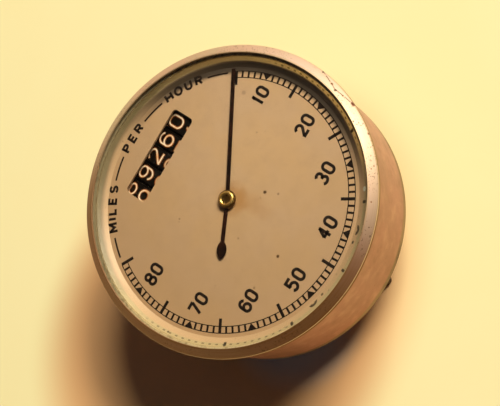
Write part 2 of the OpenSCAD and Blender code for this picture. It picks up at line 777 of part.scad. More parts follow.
module gear_frame() {
    top_z = shaft_z + shaft_d / 2 + upright_wall;
    bore_d = shaft_d + 2 * run_fit;
    color("#b99a55") difference() {
        union() {
            translate([frame_base_x0, front_upright_y, floor_z])
                cube([frame_base_x1 - frame_base_x0, rear_upright_y + frame_t - front_upright_y, frame_t]);
            translate([cross_x - upright_w / 2, front_upright_y, floor_z])
                cube([upright_w, frame_t, top_z - floor_z]);
            translate([cross_x - upright_w / 2, rear_upright_y, floor_z])
                cube([worm_x - cross_x + upright_w, frame_t, top_z - floor_z]);
        }
        translate([cross_x, front_upright_y - eps, shaft_z]) along_y()
            cylinder(d = bore_d, h = rear_upright_y + frame_t - front_upright_y + 2 * eps);
        translate([worm_x, rear_upright_y - eps, shaft_z]) along_y() cylinder(d = bore_d, h = frame_t + 2 * eps);
        translate([0, 0, floor_z - eps]) at_spots(gear_screw_spots)
            cylinder(d = small_screw_d + 2 * loose_fit, h = frame_t + 2 * eps);
    }
}

module gear_frame_screws() {
    shank = frame_t + back_t / 2;
    color("#7c7466") translate([0, 0, floor_z + frame_t - shank]) at_spots(gear_screw_spots)
        screw(small_head_d, small_screw_d, shank);
}

// Mileage counter

module counter_side() {
    rotate([90, 0, 90]) linear_extrude(side_t) difference() {
        union() {
            polygon([[base_y0, floor_z], [counter_y + side_eye_r, floor_z], [counter_y + side_eye_r, counter_z],
                [counter_y - side_eye_r, counter_z], [bar_y, bar_z + bar_d], [bar_y, bar_z - bar_d]]);
            translate([counter_y, counter_z]) circle(r = side_eye_r);
            translate([bar_y, bar_z]) circle(r = bar_d);
        }
        translate([counter_y, counter_z]) circle(d = axle_d);
        translate([bar_y, bar_z]) circle(d = bar_d);
    }
}

module counter_frame() {
    color("#b99a55") difference() {
        union() {
            translate([left_side_x, base_y0, floor_z])
                cube([right_side_x + side_t - left_side_x, base_y1 - base_y0, frame_t]);
            translate([left_side_x, 0, 0]) counter_side();
            translate([right_side_x, 0, 0]) counter_side();
            translate([worm_x - upright_w / 2, far_upright_y, floor_z])
                cube([upright_w, frame_t, shaft_z + shaft_d / 2 + upright_wall - floor_z]);
        }
        translate([worm_x, far_upright_y - eps, shaft_z]) along_y()
            cylinder(d = shaft_d + 2 * run_fit, h = frame_t + 2 * eps);
        translate([0, 0, floor_z - eps]) at_spots(counter_screw_spots)
            cylinder(d = small_screw_d + 2 * loose_fit, h = frame_t + 2 * eps);
        translate([0, 0, floor_z - eps]) difference() {
            cylinder(r = 2 * case_r, h = counter_z);
            cylinder(r = case_ri - pass_gap, h = counter_z);
        }
    }
}

module counter_frame_screws() {
    shank = frame_t + back_t / 2;
    color("#7c7466") translate([0, 0, floor_z + frame_t - shank]) at_spots(counter_screw_spots)
        screw(small_head_d, small_screw_d, shank);
}

module counter_axle() {
    color("#9a9388") translate([left_side_x - clip_t, counter_y, counter_z]) along_x()
        cylinder(d = axle_d, h = right_side_x + side_t - left_side_x + 2 * clip_t);
}

module axle_clips() {
    color("#7c7466") for (x = [left_side_x - clip_t, right_side_x + side_t])
        translate([x, counter_y, counter_z]) along_x() ring(axle_d / 2 + clip_w, axle_d / 2, clip_t);
}

module axle_spacers() {
    left_x = left_side_x + side_t;
    left_end = drum_x - (drum_count - 1) * drum_pitch - drum_w / 2 - pass_gap;
    right_x = wheel_x + wheel_w / 2 + pass_gap;
    color("#b99a55") translate([0, counter_y, counter_z]) {
        translate([left_x, 0, 0]) along_x() ring(drum_hub_r, axle_d / 2, left_end - left_x);
        translate([right_x, 0, 0]) along_x() ring(drum_hub_r, axle_d / 2, right_side_x - right_x);
    }
}

module counter_wheel() {
    hub_x = drum_x + drum_w / 2;
    color("#c49a45") translate([0, counter_y, counter_z]) {
        translate([wheel_x, 0, 0]) along_x() rotate(180 / counter_teeth)
            gear(counter_teeth, worm_m, worm_add, worm_ded, wheel_fill, wheel_w, drum_bore_r);
        translate([hub_x, 0, 0]) along_x() ring(drum_hub_r + drum_hub_wall, drum_bore_r, wheel_x - hub_x);
    }
}

module locking_bar() {
    color("#9a9388") translate([left_side_x, bar_y, bar_z]) along_x()
        cylinder(d = bar_d, h = right_side_x + side_t - left_side_x);
}

// Middle of the gap to the left of a drum
function gap_x(k) = drum_x - (k - 0.5) * drum_pitch;

module pinion_carriers() {
    eye_r = transfer_journal_r + carrier_wall;
    color("#b99a55") for (k = [1:drum_count - 1])
        translate([gap_x(k) - carrier_t / 2, counter_y, counter_z]) rotate([90, 0, 90]) rotate(180 + bar_tilt)
            linear_extrude(carrier_t) difference() {
                union() {
                    circle(r = axle_d / 2 + carrier_wall);
                    translate([transfer_at, 0]) circle(r = eye_r);
                    translate([0, -carrier_wall]) square([bar_at, 2 * carrier_wall]);
                    translate([bar_at, 0]) circle(d = bar_d + 2 * carrier_wall);
                }
                circle(d = axle_d);
                translate([transfer_at, 0]) circle(r = transfer_journal_r + run_fit);
                translate([bar_at, 0]) circle(d = bar_d);
            }
}

// A drum has a ring of inner teeth on its right side and two short carry teeth on its left side
module drum(k) {
    right_x = drum_w / 2 - cavity_depth;
    color("#1d1a17") translate([drum_x - (k - 1) * drum_pitch, counter_y, counter_z]) along_x() difference() {
        union() {
            difference() {
                translate([0, 0, -drum_w / 2]) cylinder(r = drum_r, h = drum_w);
                translate([0, 0, right_x]) rotate(bar_tilt - 90)
                    gear_blank(drum_teeth, transfer_m, ring_add, ring_ded, ring_space_fill, cavity_depth + eps);
                translate([0, 0, -drum_w / 2 - eps]) cylinder(r = cavity_r, h = cavity_depth + eps);
            }
            translate([0, 0, -drum_w / 2]) cylinder(r = drum_hub_r, h = drum_w);
            for (side = [-1, 1]) rotate(side * 180 / drum_teeth)
                translate([cavity_r - carry_tooth, -carry_w / 2, -drum_w / 2])
                    cube([(cavity_r + drum_r) / 2 - cavity_r + carry_tooth, carry_w, cavity_depth]);
        }
        translate([0, 0, -drum_w / 2 - eps]) cylinder(r = drum_bore_r, h = drum_w + 2 * eps);
    }
}

// The left half meshes with the next drum; the right half, cut short, is stepped by the carry teeth
module transfer_pinion(k) {
    journal = carrier_t / 2 + run_fit;
    short_add = cavity_r - carry_tooth - carry_gap - transfer_at - transfer_r;
    color("#c49a45") translate([gap_x(k), counter_y, counter_z]) rotate([90, 0, 90]) rotate(180 + bar_tilt)
        translate([transfer_at, 0, 0]) {
            translate([0, 0, -journal]) cylinder(r = transfer_journal_r, h = 2 * journal);
            translate([0, 0, -transfer_half_w]) gear_blank(transfer_teeth, transfer_m, transfer_add, transfer_ded,
                wheel_fill, transfer_half_w - journal);
            translate([0, 0, journal]) gear_blank(transfer_teeth, transfer_m, short_add, transfer_ded,
                wheel_fill, transfer_half_w - journal);
        }
}

case_shell();
back_plate();
back_screws();
rear_studs();
drive_boss();
bezel();
glass_lens();
glass_seat();
spacer_ring();
dial_plate();
dial_feet();
front_plate();
pillars();
pillar_screws();
needle();
needle_hub();
needle_arbor();
arbor_bush();
hairspring();
hairspring_collet();
hairspring_stud();
stop_arm();
stop_pins();
drag_cup();
magnet();
field_cup();
drive_spindle();
spindle_bush();
spindle_worm();
cross_shaft();
cross_wheel();
cross_pinion();
worm_shaft();
worm_shaft_gear();
counter_worm();
gear_frame();
gear_frame_screws();
counter_frame();
counter_frame_screws();
counter_axle();
axle_spacers();
axle_clips();
counter_wheel();
pinion_carriers();
locking_bar();
drum(1);  // drum_1
drum(2);  // drum_2
drum(3);  // drum_3
drum(4);  // drum_4
drum(5);  // drum_5
transfer_pinion(1);  // transfer_pinion_1
transfer_pinion(2);  // transfer_pinion_2
transfer_pinion(3);  // transfer_pinion_3
transfer_pinion(4);  // transfer_pinion_4
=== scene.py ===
# A round dashboard speedometer lying face up: a drawn case with a nickel bezel, a cream dial under
# flat glass, a dark needle and a drum mileage counter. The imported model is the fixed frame.
from math import ceil, cos, degrees, hypot, pi, radians, sin

import bmesh
import bpy
from mathutils import Matrix, Vector


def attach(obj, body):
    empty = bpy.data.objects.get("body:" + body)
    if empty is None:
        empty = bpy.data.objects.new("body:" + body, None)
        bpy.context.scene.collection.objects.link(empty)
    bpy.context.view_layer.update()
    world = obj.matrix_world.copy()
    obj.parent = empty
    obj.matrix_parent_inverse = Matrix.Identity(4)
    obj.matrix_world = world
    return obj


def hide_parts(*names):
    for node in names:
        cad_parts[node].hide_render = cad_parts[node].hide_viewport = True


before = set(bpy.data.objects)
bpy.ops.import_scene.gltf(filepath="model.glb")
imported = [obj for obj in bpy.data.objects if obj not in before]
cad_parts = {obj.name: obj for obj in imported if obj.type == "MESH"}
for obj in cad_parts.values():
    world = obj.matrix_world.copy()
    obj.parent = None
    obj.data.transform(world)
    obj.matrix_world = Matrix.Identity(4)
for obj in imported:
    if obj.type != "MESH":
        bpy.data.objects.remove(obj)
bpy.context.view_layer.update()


# Case shell: one deep drawn cup of thin alloy with a flange at its mouth. The drawing die leaves
# fine lines round it, and years of handling have stained and dulled the bare metal. Its side away
# from the lamps is painted darker and browner as shade.
class Wire:
    """A socket in a finish's node tree. Sums on it add Math nodes, and node() adds any other node."""

    def __init__(self, tree, socket=None):
        self.tree, self.socket = tree, socket

    def node(self, kind, settings=None, sockets=None, out=0):
        """A new node: its settings first, then its sockets, each a plain value or a wire."""
        made = self.tree.nodes.new("ShaderNode" + kind)
        for name, value in (settings or {}).items():
            setattr(made, name, value)
        for key, value in (sockets or {}).items():
            if isinstance(value, Wire):
                self.tree.links.new(value.socket, made.inputs[key])
            else:
                made.inputs[key].default_value = value
        return Wire(self.tree, made.outputs[out])

    def maths(self, operation, *values):
        return self.node("Math", {"operation": operation}, dict(enumerate(values)))

    def __add__(self, other):
        return self.maths("ADD", self, other)

    def __sub__(self, other):
        return self.maths("SUBTRACT", self, other)

    def __rsub__(self, other):
        return self.maths("SUBTRACT", other, self)

    def __mul__(self, other):
        return self.maths("MULTIPLY", self, other)

    def __abs__(self):
        return self.maths("ABSOLUTE", self)

    __radd__, __rmul__ = __add__, __mul__

    def rise(self, low, high):
        """0 below low and 1 above high, with a soft edge; the other way round where low is above high."""
        return self.node("MapRange", {"interpolation_type": "SMOOTHSTEP"},
                         {"Value": self, "From Min": low, "From Max": high})

    def tint(self, under, over):
        """The colour under where this is 0, and over where it is 1."""
        return self.node("Mix", {"data_type": "RGBA"}, {0: self, 6: under, 7: over}, out=2)


def shader_input(material, socket):
    """The socket of a material's shader that a name such as Base_Color stands for."""
    spoken = socket.replace("_", " ").title().replace("Ior", "IOR")
    return material.node_tree.nodes["Principled BSDF"].inputs[spoken]


def finish(name, **plain):
    """A new material with these even values on its shader, and a wire to begin its sums from."""
    material = bpy.data.materials.new(name)
    material.use_nodes = True
    for socket, value in plain.items():
        shader_input(material, socket).default_value = value
    return material, Wire(material.node_tree)


def feed(material, **varied):
    """Links wires to the shader's sockets."""
    for socket, wire in varied.items():
        material.node_tree.links.new(wire.socket, shader_input(material, socket))


def rgb(red, green, blue):
    """A colour given as it looks, in 0 to 255, as the shader wants it."""
    return tuple(((c / 255 + 0.055) / 1.055) ** 2.4 if c > 10 else c / 255 / 12.92
                 for c in (red, green, blue)) + (1.0,)


def layered(colour, *coats):
    """A colour with thin coats over it. A coat is (where it lies, how dense it is, its colour)."""
    for where, density, coat in coats:
        colour = (where * density).tint(colour, coat)
    return colour


def millimetres(wire):
    """Where a point lies on its piece, in millimetres of the part's own frame."""
    return wire.node("VectorMath", {"operation": "SCALE"},
                     {0: wire.node("TexCoord", out="Object"), "Scale": 1000.0})


def apart(place):
    """The three measures of a place as three wires."""
    return [place.node("SeparateXYZ", {}, {0: place}, out=k) for k in range(3)]


def towards(place, east, north):
    """How far a place lies from the axis one way, given as its shares of 3 o'clock and 12 o'clock."""
    return place.node("VectorMath", {"operation": "DOT_PRODUCT"}, {0: place, 1: (east, north, 0.0)},
                      out="Value")


def cloud(place, scale, detail=3.0, roughness=0.55):
    """Soft random shade, with scale in turns for each millimetre."""
    return place.node("TexNoise", {}, {"Vector": place, "Scale": scale, "Detail": detail,
                                       "Roughness": roughness})


def stretched(place, x, y, z):
    """A place drawn out by these factors, for grain that runs one way."""
    return place.node("VectorMath", {"operation": "MULTIPLY"}, {0: place, 1: (x, y, z)})


def round_axis(place):
    """Angle in radians, radius and height of a place round the instrument's axis, as one vector."""
    x, y, z = apart(place)
    angle, radius = x.maths("ARCTAN2", y, x), x.maths("SQRT", x * x + y * y)
    return place.node("CombineXYZ", {}, {0: angle, 1: radius, 2: z})


def bump(height, strength, depth):
    """A surface normal from a height that is 0 to 1 and depth millimetres deep."""
    return height.node("Bump", {}, {"Height": height, "Strength": strength, "Distance": depth / 1000})


def dress(material, *names):
    """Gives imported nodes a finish."""
    for name in names:
        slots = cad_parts[name].data.materials
        slots.clear()
        slots.append(material)


CASE_TAN, CASE_ROSE = rgb(184, 140, 122), rgb(200, 150, 134)
CASE_STAIN, CASE_BROWN, CASE_PALE = rgb(138, 92, 52), rgb(156, 84, 28), rgb(220, 172, 138)
CASE_BACK_Z, CASE_FRONT_Z = 17.6, 46.9
CASE_SHADED_SIDE, CASE_SHADED_REACH = (-0.3, -0.95), (0.0, 58.0)
drawn_alloy, w = finish("drawn_alloy", Metallic=0.75, Specular_IOR_Level=0.5)
spot = millimetres(w)
polar = round_axis(spot)
height = apart(spot)[2]
drawing = cloud(stretched(polar, 2.0, 1.0, 14.0), 1.0, 4.0, 0.6)
smears = cloud(stretched(polar, 7.0, 0.1, 0.12), 1.0, 5.0, 0.62).rise(0.5, 0.72)
handling = cloud(spot, 0.09, 4.0)
blotches = cloud(spot, 0.2, 5.0, 0.6)
speckle = cloud(spot, 1.6, 2.0).rise(0.66, 0.74)
seams = height.rise(CASE_BACK_Z + 1.2, CASE_BACK_Z - 0.4) + height.rise(CASE_FRONT_Z - 1.4, CASE_FRONT_Z)
# painted shade: the case is darker and browner on its side towards half past six, away from the lamps
painted_shade = (towards(spot, *CASE_SHADED_SIDE) + handling * 12.0).rise(*CASE_SHADED_REACH)
stained = seams + speckle * 0.7 + smears * 0.6 + blotches.rise(0.46, 0.3) * 0.6
tan = layered(handling.rise(0.35, 0.65).tint(CASE_TAN, CASE_ROSE), (painted_shade, 0.6, CASE_BROWN),
              (blotches.rise(0.46, 0.72), 0.3, CASE_PALE), (stained, 0.5, CASE_STAIN))
feed(drawn_alloy, Base_Color=tan, Roughness=0.36 + drawing * 0.16 + speckle * 0.15,
     Normal=bump(drawing, 0.25, 0.03))
dress(drawn_alloy, "case_shell")


# Back plate: a turned disc of the same alloy, held in the case by three screws. It shows rings from
# the lathe tool and is browner than the case, because damp sat behind the panel.
PLATE_TAN, PLATE_BROWN = rgb(158, 128, 92), rgb(92, 66, 40)
turned_plate, w = finish("turned_plate", Metallic=0.8)
spot = millimetres(w)
rings = cloud(stretched(round_axis(spot), 0.4, 5.0, 0.0), 1.0, 3.0, 0.7)
damp = cloud(spot, 0.07, 5.0, 0.62)
pits = cloud(spot, 1.1, 3.0).rise(0.64, 0.72)
feed(turned_plate, Base_Color=(damp.rise(0.42, 0.68) * 0.8 + pits * 0.4).tint(PLATE_TAN, PLATE_BROWN),
     Roughness=0.38 + damp * 0.22 + rings * 0.1, Normal=bump(rings, 0.3, 0.05))
dress(turned_plate, "back_plate")


# Plain steel: screws, shafts and pins, turned from bar and left bright, with a light grey skin and a
# few rust freckles in the slots and corners.
STEEL, STEEL_RUST = rgb(172, 160, 142), rgb(112, 70, 38)
bright_steel, w = finish("bright_steel", Metallic=1.0)
spot = millimetres(w)
tooling = cloud(stretched(spot, 1.0, 1.0, 6.0), 1.5, 3.0)
rust = cloud(spot, 0.9, 4.0, 0.65).rise(0.56, 0.7)
feed(bright_steel, Base_Color=layered(STEEL, (rust, 0.7, STEEL_RUST)),
     Roughness=0.28 + rust * 0.4 + tooling * 0.1, Normal=bump(tooling, 0.2, 0.02))
dress(bright_steel, "back_screws", "pillar_screws", "needle_arbor", "stop_arm", "stop_pins", "field_cup",
      "drive_spindle", "spindle_worm", "cross_shaft", "worm_shaft", "counter_worm", "gear_frame_screws",
      "counter_frame_screws", "counter_axle", "axle_clips", "locking_bar")


# Fixing studs: three steel studs with a cut thread, riveted through the back plate on a collar. The
# clamp behind the panel is drawn up on them. Their steel has gone dark and brown.
def solid(name, points, faces, material, sharp=38.0):
    """A piece from points in millimetres, smooth apart from edges over the angle sharp."""
    mesh = bpy.data.meshes.new(name)
    shape = bmesh.new()
    corners = [shape.verts.new([c / 1000 for c in p]) for p in points]
    for face in faces:
        shape.faces.new([corners[k] for k in face])
    touching = 1e-8
    bmesh.ops.remove_doubles(shape, verts=shape.verts, dist=touching)
    bmesh.ops.dissolve_degenerate(shape, edges=shape.edges, dist=touching)
    bmesh.ops.recalc_face_normals(shape, faces=shape.faces)
    shape.to_mesh(mesh)
    shape.free()
    mesh.shade_smooth()
    mesh.set_sharp_from_angle(angle=radians(sharp))
    mesh.materials.append(material)
    piece = bpy.data.objects.new(name, mesh)
    bpy.context.scene.collection.objects.link(piece)
    return piece


def wrapped(rows, sides, joined):
    """Faces between rows of points that go round. Where joined, the last row meets the first."""
    faces = []
    for j in range(rows if joined else rows - 1):
        for i in range(sides):
            k, m = (i + 1) % sides, (j + 1) % rows
            faces.append((j * sides + i, j * sides + k, m * sides + k, m * sides + i))
    return faces


CREST_FLAT, THREAD_STEPS = 0.15, 8


def screwed(levels, pitch, sides, bore=0.0, at=(0.0, 0.0)):
    """Points and faces of a threaded rod or tube along Z. A level is (height, radius, thread depth)."""
    if bore:
        levels = levels + [(levels[-1][0], bore, 0.0), (levels[0][0], bore, 0.0)]
    points, rows = [], len(levels)
    for z, radius, depth in levels:
        for i in range(sides):
            share = (z / pitch - i / sides) % 1.0
            flank = abs(2 * share - 1) * (1 + 2 * CREST_FLAT) - CREST_FLAT
            r = radius - depth * min(1.0, max(0.0, flank))
            points.append((at[0] + r * cos(2 * pi * i / sides), at[1] + r * sin(2 * pi * i / sides), z))
    faces = wrapped(rows, sides, bool(bore))
    if not bore:
        faces += [tuple(range(sides)), tuple(range((rows - 1) * sides, rows * sides))]
    return points, faces


def cut_thread(low, high, radius, depth, pitch, lead):
    """Levels of a thread from low to high that runs out over a chamfer at its low end."""
    count = ceil((high - low) / pitch * THREAD_STEPS)
    levels = []
    for j in range(count + 1):
        z = low + (high - low) * j / count
        chamfer = max(0.0, lead - (z - low))
        cut = depth * min(1.0, (high - z) / pitch) if chamfer < depth else 0.0
        levels.append((z, radius - chamfer, cut))
    return levels


STUD_CIRCLE_R, STUD_ANGLES = 37.3, (-87, 33, 153)
STUD_R, STUD_NECK_R, STUD_COLLAR_R, STUD_SIDES = 2.0, 1.6, 4.0, 32
STUD_THREAD_TOP, BACK_PLATE_TOP, STUD_COLLAR_TOP = 14.4, 17.6, 19.1
STUD_PITCH, STUD_THREAD_DEPTH, STUD_CHAMFER = 0.7, 0.38, 0.35
STUD_STEEL, STUD_RUST = rgb(104, 84, 62), rgb(72, 42, 20)
rusted_steel, w = finish("rusted_steel", Metallic=0.85)
spot = millimetres(w)
rust = cloud(spot, 0.8, 5.0, 0.65)
feed(rusted_steel, Base_Color=rust.rise(0.4, 0.62).tint(STUD_STEEL, STUD_RUST),
     Roughness=0.35 + rust.rise(0.35, 0.65) * 0.4, Normal=bump(rust, 0.35, 0.05))
stud_levels = cut_thread(0.0, STUD_THREAD_TOP, STUD_R, STUD_THREAD_DEPTH, STUD_PITCH, STUD_CHAMFER)
stud_levels += [(STUD_THREAD_TOP, STUD_NECK_R, 0.0), (BACK_PLATE_TOP, STUD_NECK_R, 0.0),
                (BACK_PLATE_TOP, STUD_COLLAR_R, 0.0), (STUD_COLLAR_TOP, STUD_COLLAR_R, 0.0)]
for number, angle in enumerate(STUD_ANGLES, 1):
    place = (STUD_CIRCLE_R * cos(radians(angle)), STUD_CIRCLE_R * sin(radians(angle)))
    threaded = screwed(stud_levels, STUD_PITCH, STUD_SIDES, at=place)
    stud = solid(f"threaded_stud_{number}", *threaded, rusted_steel)
    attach(stud, "case")
    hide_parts("rear_studs")


# Cable boss: a brass tube with a cut thread for the drive cable's union nut. It is riveted into the
# middle of the back plate, carries the spindle's bush, and has tarnished to a deep yellow brown.
def brassy(name, bright, browner, share, shine):
    """Brass with turning marks and cloudy tarnish over about this share of it."""
    brass, wire = finish(name, Metallic=1.0)
    place = millimetres(wire)
    turning = cloud(stretched(place, 1.0, 1.0, 7.0), 1.2, 3.0)
    dull = cloud(place, 0.22, 5.0, 0.6).rise(0.72 - share * 0.5, 0.86 - share * 0.5)
    freckle = cloud(place, 1.7, 2.0).rise(0.66, 0.73)
    feed(brass, Base_Color=(dull * 0.75 + freckle * 0.25).tint(bright, browner),
         Roughness=shine + dull * 0.22 + turning * 0.08, Normal=bump(turning, 0.2, 0.02))
    return brass


BOSS_BRASS, BOSS_TARNISH = rgb(196, 158, 88), rgb(120, 84, 40)
BOSS_LOW, BOSS_THREAD_TOP, BOSS_FLANGE_TOP = 4.0, 14.4, 18.6
BOSS_R, BOSS_NECK_R, BOSS_FLANGE_R, BOSS_BORE_R, BOSS_SIDES = 6.0, 5.6, 6.5, 3.6, 72
BOSS_PITCH, BOSS_THREAD_DEPTH, BOSS_CHAMFER = 1.0, 0.5, 0.5
tarnished_brass = brassy("tarnished_brass", BOSS_BRASS, BOSS_TARNISH, 0.55, 0.26)
boss_levels = cut_thread(BOSS_LOW, BOSS_THREAD_TOP, BOSS_R, BOSS_THREAD_DEPTH, BOSS_PITCH, BOSS_CHAMFER)
boss_levels += [(BOSS_THREAD_TOP, BOSS_NECK_R, 0.0), (BACK_PLATE_TOP, BOSS_NECK_R, 0.0),
                (BACK_PLATE_TOP, BOSS_FLANGE_R, 0.0), (BOSS_FLANGE_TOP, BOSS_FLANGE_R, 0.0)]
boss = solid("threaded_boss", *screwed(boss_levels, BOSS_PITCH, BOSS_SIDES, BOSS_BORE_R), tarnished_brass)
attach(boss, "case")
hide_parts("drive_boss")
dress(tarnished_brass, "spindle_bush")


# Movement: brass plates, pillars, wheels and frames stamped or cut from sheet and rod, screwed to the
# back plate. They sit behind the dial and stay clean and yellow.
MOVEMENT_BRASS, MOVEMENT_DULL = rgb(206, 170, 98), rgb(150, 112, 58)
plate_brass = brassy("plate_brass", MOVEMENT_BRASS, MOVEMENT_DULL, 0.35, 0.24)
dress(plate_brass, "front_plate", "pillars", "dial_feet", "arbor_bush", "hairspring_collet",
      "hairspring_stud", "cross_wheel", "cross_pinion", "worm_shaft_gear", "gear_frame", "counter_frame",
      "axle_spacers", "counter_wheel", "pinion_carriers", *[f"transfer_pinion_{k}" for k in range(1, 5)])


# Hairspring: a flat ribbon of bronze wound in a spiral, between a collet on the needle's arbor and a
# stud. It was blued by heat when it was set.
HAIR_BRONZE, HAIR_BLUE = rgb(150, 116, 74), rgb(84, 78, 92)
set_bronze, w = finish("set_bronze", Metallic=1.0, Roughness=0.32)
heat = cloud(millimetres(w), 0.35, 3.0).rise(0.4, 0.65)
feed(set_bronze, Base_Color=heat.tint(HAIR_BRONZE, HAIR_BLUE))
dress(set_bronze, "hairspring")


# Drag cup and magnet: a spun aluminium cup that the turning magnet pulls round. The magnet is a
# ground ring of dark iron alloy pressed on the drive spindle.
CUP_BRIGHT, CUP_DULL = rgb(206, 204, 198), rgb(178, 174, 166)
MAGNET_DARK, MAGNET_GREY = rgb(92, 88, 84), rgb(128, 122, 114)
spun_alloy, w = finish("spun_alloy", Metallic=1.0)
spinning = cloud(stretched(round_axis(millimetres(w)), 0.6, 4.0, 4.0), 1.0, 3.0)
feed(spun_alloy, Base_Color=spinning.tint(CUP_BRIGHT, CUP_DULL), Roughness=0.25 + spinning * 0.2,
     Normal=bump(spinning, 0.2, 0.02))
dress(spun_alloy, "drag_cup")
ground_iron, w = finish("ground_iron", Metallic=0.9)
grinding = cloud(stretched(millimetres(w), 9.0, 1.0, 1.0), 0.8, 3.0)
feed(ground_iron, Base_Color=grinding.tint(MAGNET_DARK, MAGNET_GREY), Roughness=0.35 + grinding * 0.25,
     Normal=bump(grinding, 0.25, 0.02))
dress(ground_iron, "magnet")


# Counter drums: five black lacquered drums on one axle, each with ten raised cream figures that were
# stamped and filled by hand. The rims are rubbed and dusty.
LACQUER, LACQUER_DUST, LACQUER_WORN = rgb(9, 5, 2), rgb(30, 20, 11), rgb(84, 50, 22)
drum_lacquer, w = finish("drum_lacquer", Specular_IOR_Level=0.1)
spot = millimetres(w)
dust = cloud(spot, 0.5, 4.0).rise(0.5, 0.72)
rub = cloud(stretched(spot, 0.3, 1.4, 1.4), 1.0, 3.0).rise(0.68, 0.76)
feed(drum_lacquer, Base_Color=layered(LACQUER, (dust, 0.45, LACQUER_DUST), (rub, 0.5, LACQUER_WORN)),
     Roughness=0.42 + dust * 0.3, Normal=bump(cloud(spot, 1.3, 3.0), 0.15, 0.03))
dress(drum_lacquer, *[f"drum_{k}" for k in range(1, 6)])


def arc(x, y, across, up, start, end, steps=14):
    """Points along part of an ellipse, from one angle in degrees to another."""
    turns = [radians(start + (end - start) * k / steps) for k in range(steps + 1)]
    return [(x + across * cos(t), y + up * sin(t)) for t in turns]


# Each figure and letter is one or more pen strokes in a box from -1 to 1 both ways
SIX_PATH = arc(0, 0.3, 1, 0.7, 28, 180) + arc(0, -0.4, 1, 0.6, 180, 540, 28)
P_PATH = [(-1, -1), (-1, 1), (0.2, 1)] + arc(0.2, 0.5, 0.8, 0.5, 90, -90, 10) + [(-1, 0)]
STROKES = {
    "0": [arc(0, 0.42, 1, 0.58, 0, 180) + arc(0, -0.42, 1, 0.58, 180, 360) + [(1.0, 0.42)]],
    "1": [[(0, 1.1), (0, -1.1)], [(-0.9, 0.45), (0, 0.95)]],
    "2": [arc(0, 0.42, 1, 0.58, 162, -32) + [(-0.95, -0.95)], [(-1.12, -1), (1.12, -1)]],
    "3": [arc(-0.05, 0.5, 0.9, 0.5, 150, -90), arc(-0.05, -0.48, 1.05, 0.52, 96, -152)],
    "4": [[(0.35, -1.1), (0.35, 1.1)], [(0.35, 0.98), (-0.95, -0.4)], [(-1.12, -0.42), (1.12, -0.42)]],
    "5": [[(1, 1), (-0.82, 1), (-0.88, -0.08)], arc(-0.05, -0.38, 1.05, 0.62, 142, -152)],
    "6": [SIX_PATH],
    "7": [[(-1.12, 1), (1.12, 1)], [(0.98, 0.95), (-0.25, -1.1)]],
    "8": [arc(0, 0.5, 0.86, 0.5, 0, 360, 24), arc(0, -0.46, 1, 0.54, 0, 360, 28)],
    "9": [[(-x, -y) for x, y in SIX_PATH]],
    "E": [[(1, 1), (-1, 1), (-1, -1), (1, -1)], [(-1, 0), (0.75, 0)]],
    "H": [[(-1, -1), (-1, 1)], [(1, -1), (1, 1)], [(-1, 0), (1, 0)]],
    "I": [[(0, -1), (0, 1)]],
    "L": [[(-1, 1), (-1, -1), (1, -1)]],
    "M": [[(-1, -1.2), (-1, 1.2)], [(-1, 1), (0, -0.45), (1, 1)], [(1, 1.2), (1, -1.2)]],
    "O": [arc(0, 0, 1, 1, 0, 360, 32)],
    "P": [P_PATH],
    "R": [P_PATH, [(0.1, 0), (1, -1)]],
    "S": [arc(0, 0.48, 0.92, 0.52, 28, 270) + arc(0, -0.48, 1, 0.48, 90, -152)[1:]],
    "U": [[(-1, 1)] + arc(0, -0.3, 1, 0.7, 180, 360) + [(1, 1)]],
}


class Ink:
    """Raised print: pen strokes and patches of one thickness, laid on a surface by lay(x, y, height).
    On a curved surface the strokes are made in steps, so that they follow it."""
    ACROSS_PEN = ((-0.5, 0), (-0.42, 1), (0.42, 1), (0.5, 0))
    SHARPEST_MITRE = 0.45

    def __init__(self, thickness, lay, step=10.0):
        self.thickness, self.lay, self.step, self.points, self.faces = thickness, lay, step, [], []

    def stroke(self, path, width):
        """One stroke along a path in millimetres. A path that ends where it began is closed."""
        closed = hypot(path[0][0] - path[-1][0], path[0][1] - path[-1][1]) < 1e-6
        path = path[:-1] if closed else path
        count, first = len(path), len(self.points)
        for k, (x, y) in enumerate(path):
            back = path[k - 1] if closed or k else path[0]
            on = path[(k + 1) % count] if closed or k < count - 1 else path[-1]
            before, after = Vector((x - back[0], y - back[1])), Vector((on[0] - x, on[1] - y))
            before = before.normalized() if before.length else after.normalized()
            after = after.normalized() if after.length else before
            along = (before + after).normalized() if (before + after).length > 1e-6 else before
            mitre = 1 / max(self.SHARPEST_MITRE, along.dot(after))
            for share, raised in self.ACROSS_PEN:
                off = share * width * mitre
                self.points.append(self.lay(x - along.y * off, y + along.x * off, raised * self.thickness))
        for k in range(count if closed else count - 1):
            a, b = first + 4 * k, first + 4 * ((k + 1) % count)
            self.faces += [(a + i, a + (i + 1) % 4, b + (i + 1) % 4, b + i) for i in range(4)]
        if not closed:
            last = first + 4 * (count - 1)
            self.faces += [tuple(range(first, first + 4)), tuple(range(last, last + 4))]

    def patch(self, outline):
        """A filled shape."""
        low, count = len(self.points), len(outline)
        high = low + count
        for raised in (0, 1):
            self.points += [self.lay(x, y, raised * self.thickness) for x, y in outline]
        self.faces += [tuple(range(low, high)), tuple(range(high, high + count))]
        for i in range(count):
            k = (i + 1) % count
            self.faces.append((low + i, low + k, high + k, high + i))

    def sign(self, letter, x, y, width, height, pen, turn=0.0):
        """A figure or letter with its middle at x, y, turned clockwise by turn degrees."""
        c, s = cos(radians(turn)), sin(radians(turn))
        for path in STROKES[letter]:
            flat = [(u * (width - pen) / 2, v * (height - pen) / 2) for u, v in path]
            close = flat[:1]
            for (u, v), (end_u, end_v) in zip(flat, flat[1:]):
                parts = ceil(hypot(end_u - u, end_v - v) / self.step)
                close += [(u + (end_u - u) * k / parts, v + (end_v - v) * k / parts)
                          for k in range(1, parts + 1)]
            self.stroke([(x + u * c + v * s, y - u * s + v * c) for u, v in close], pen)


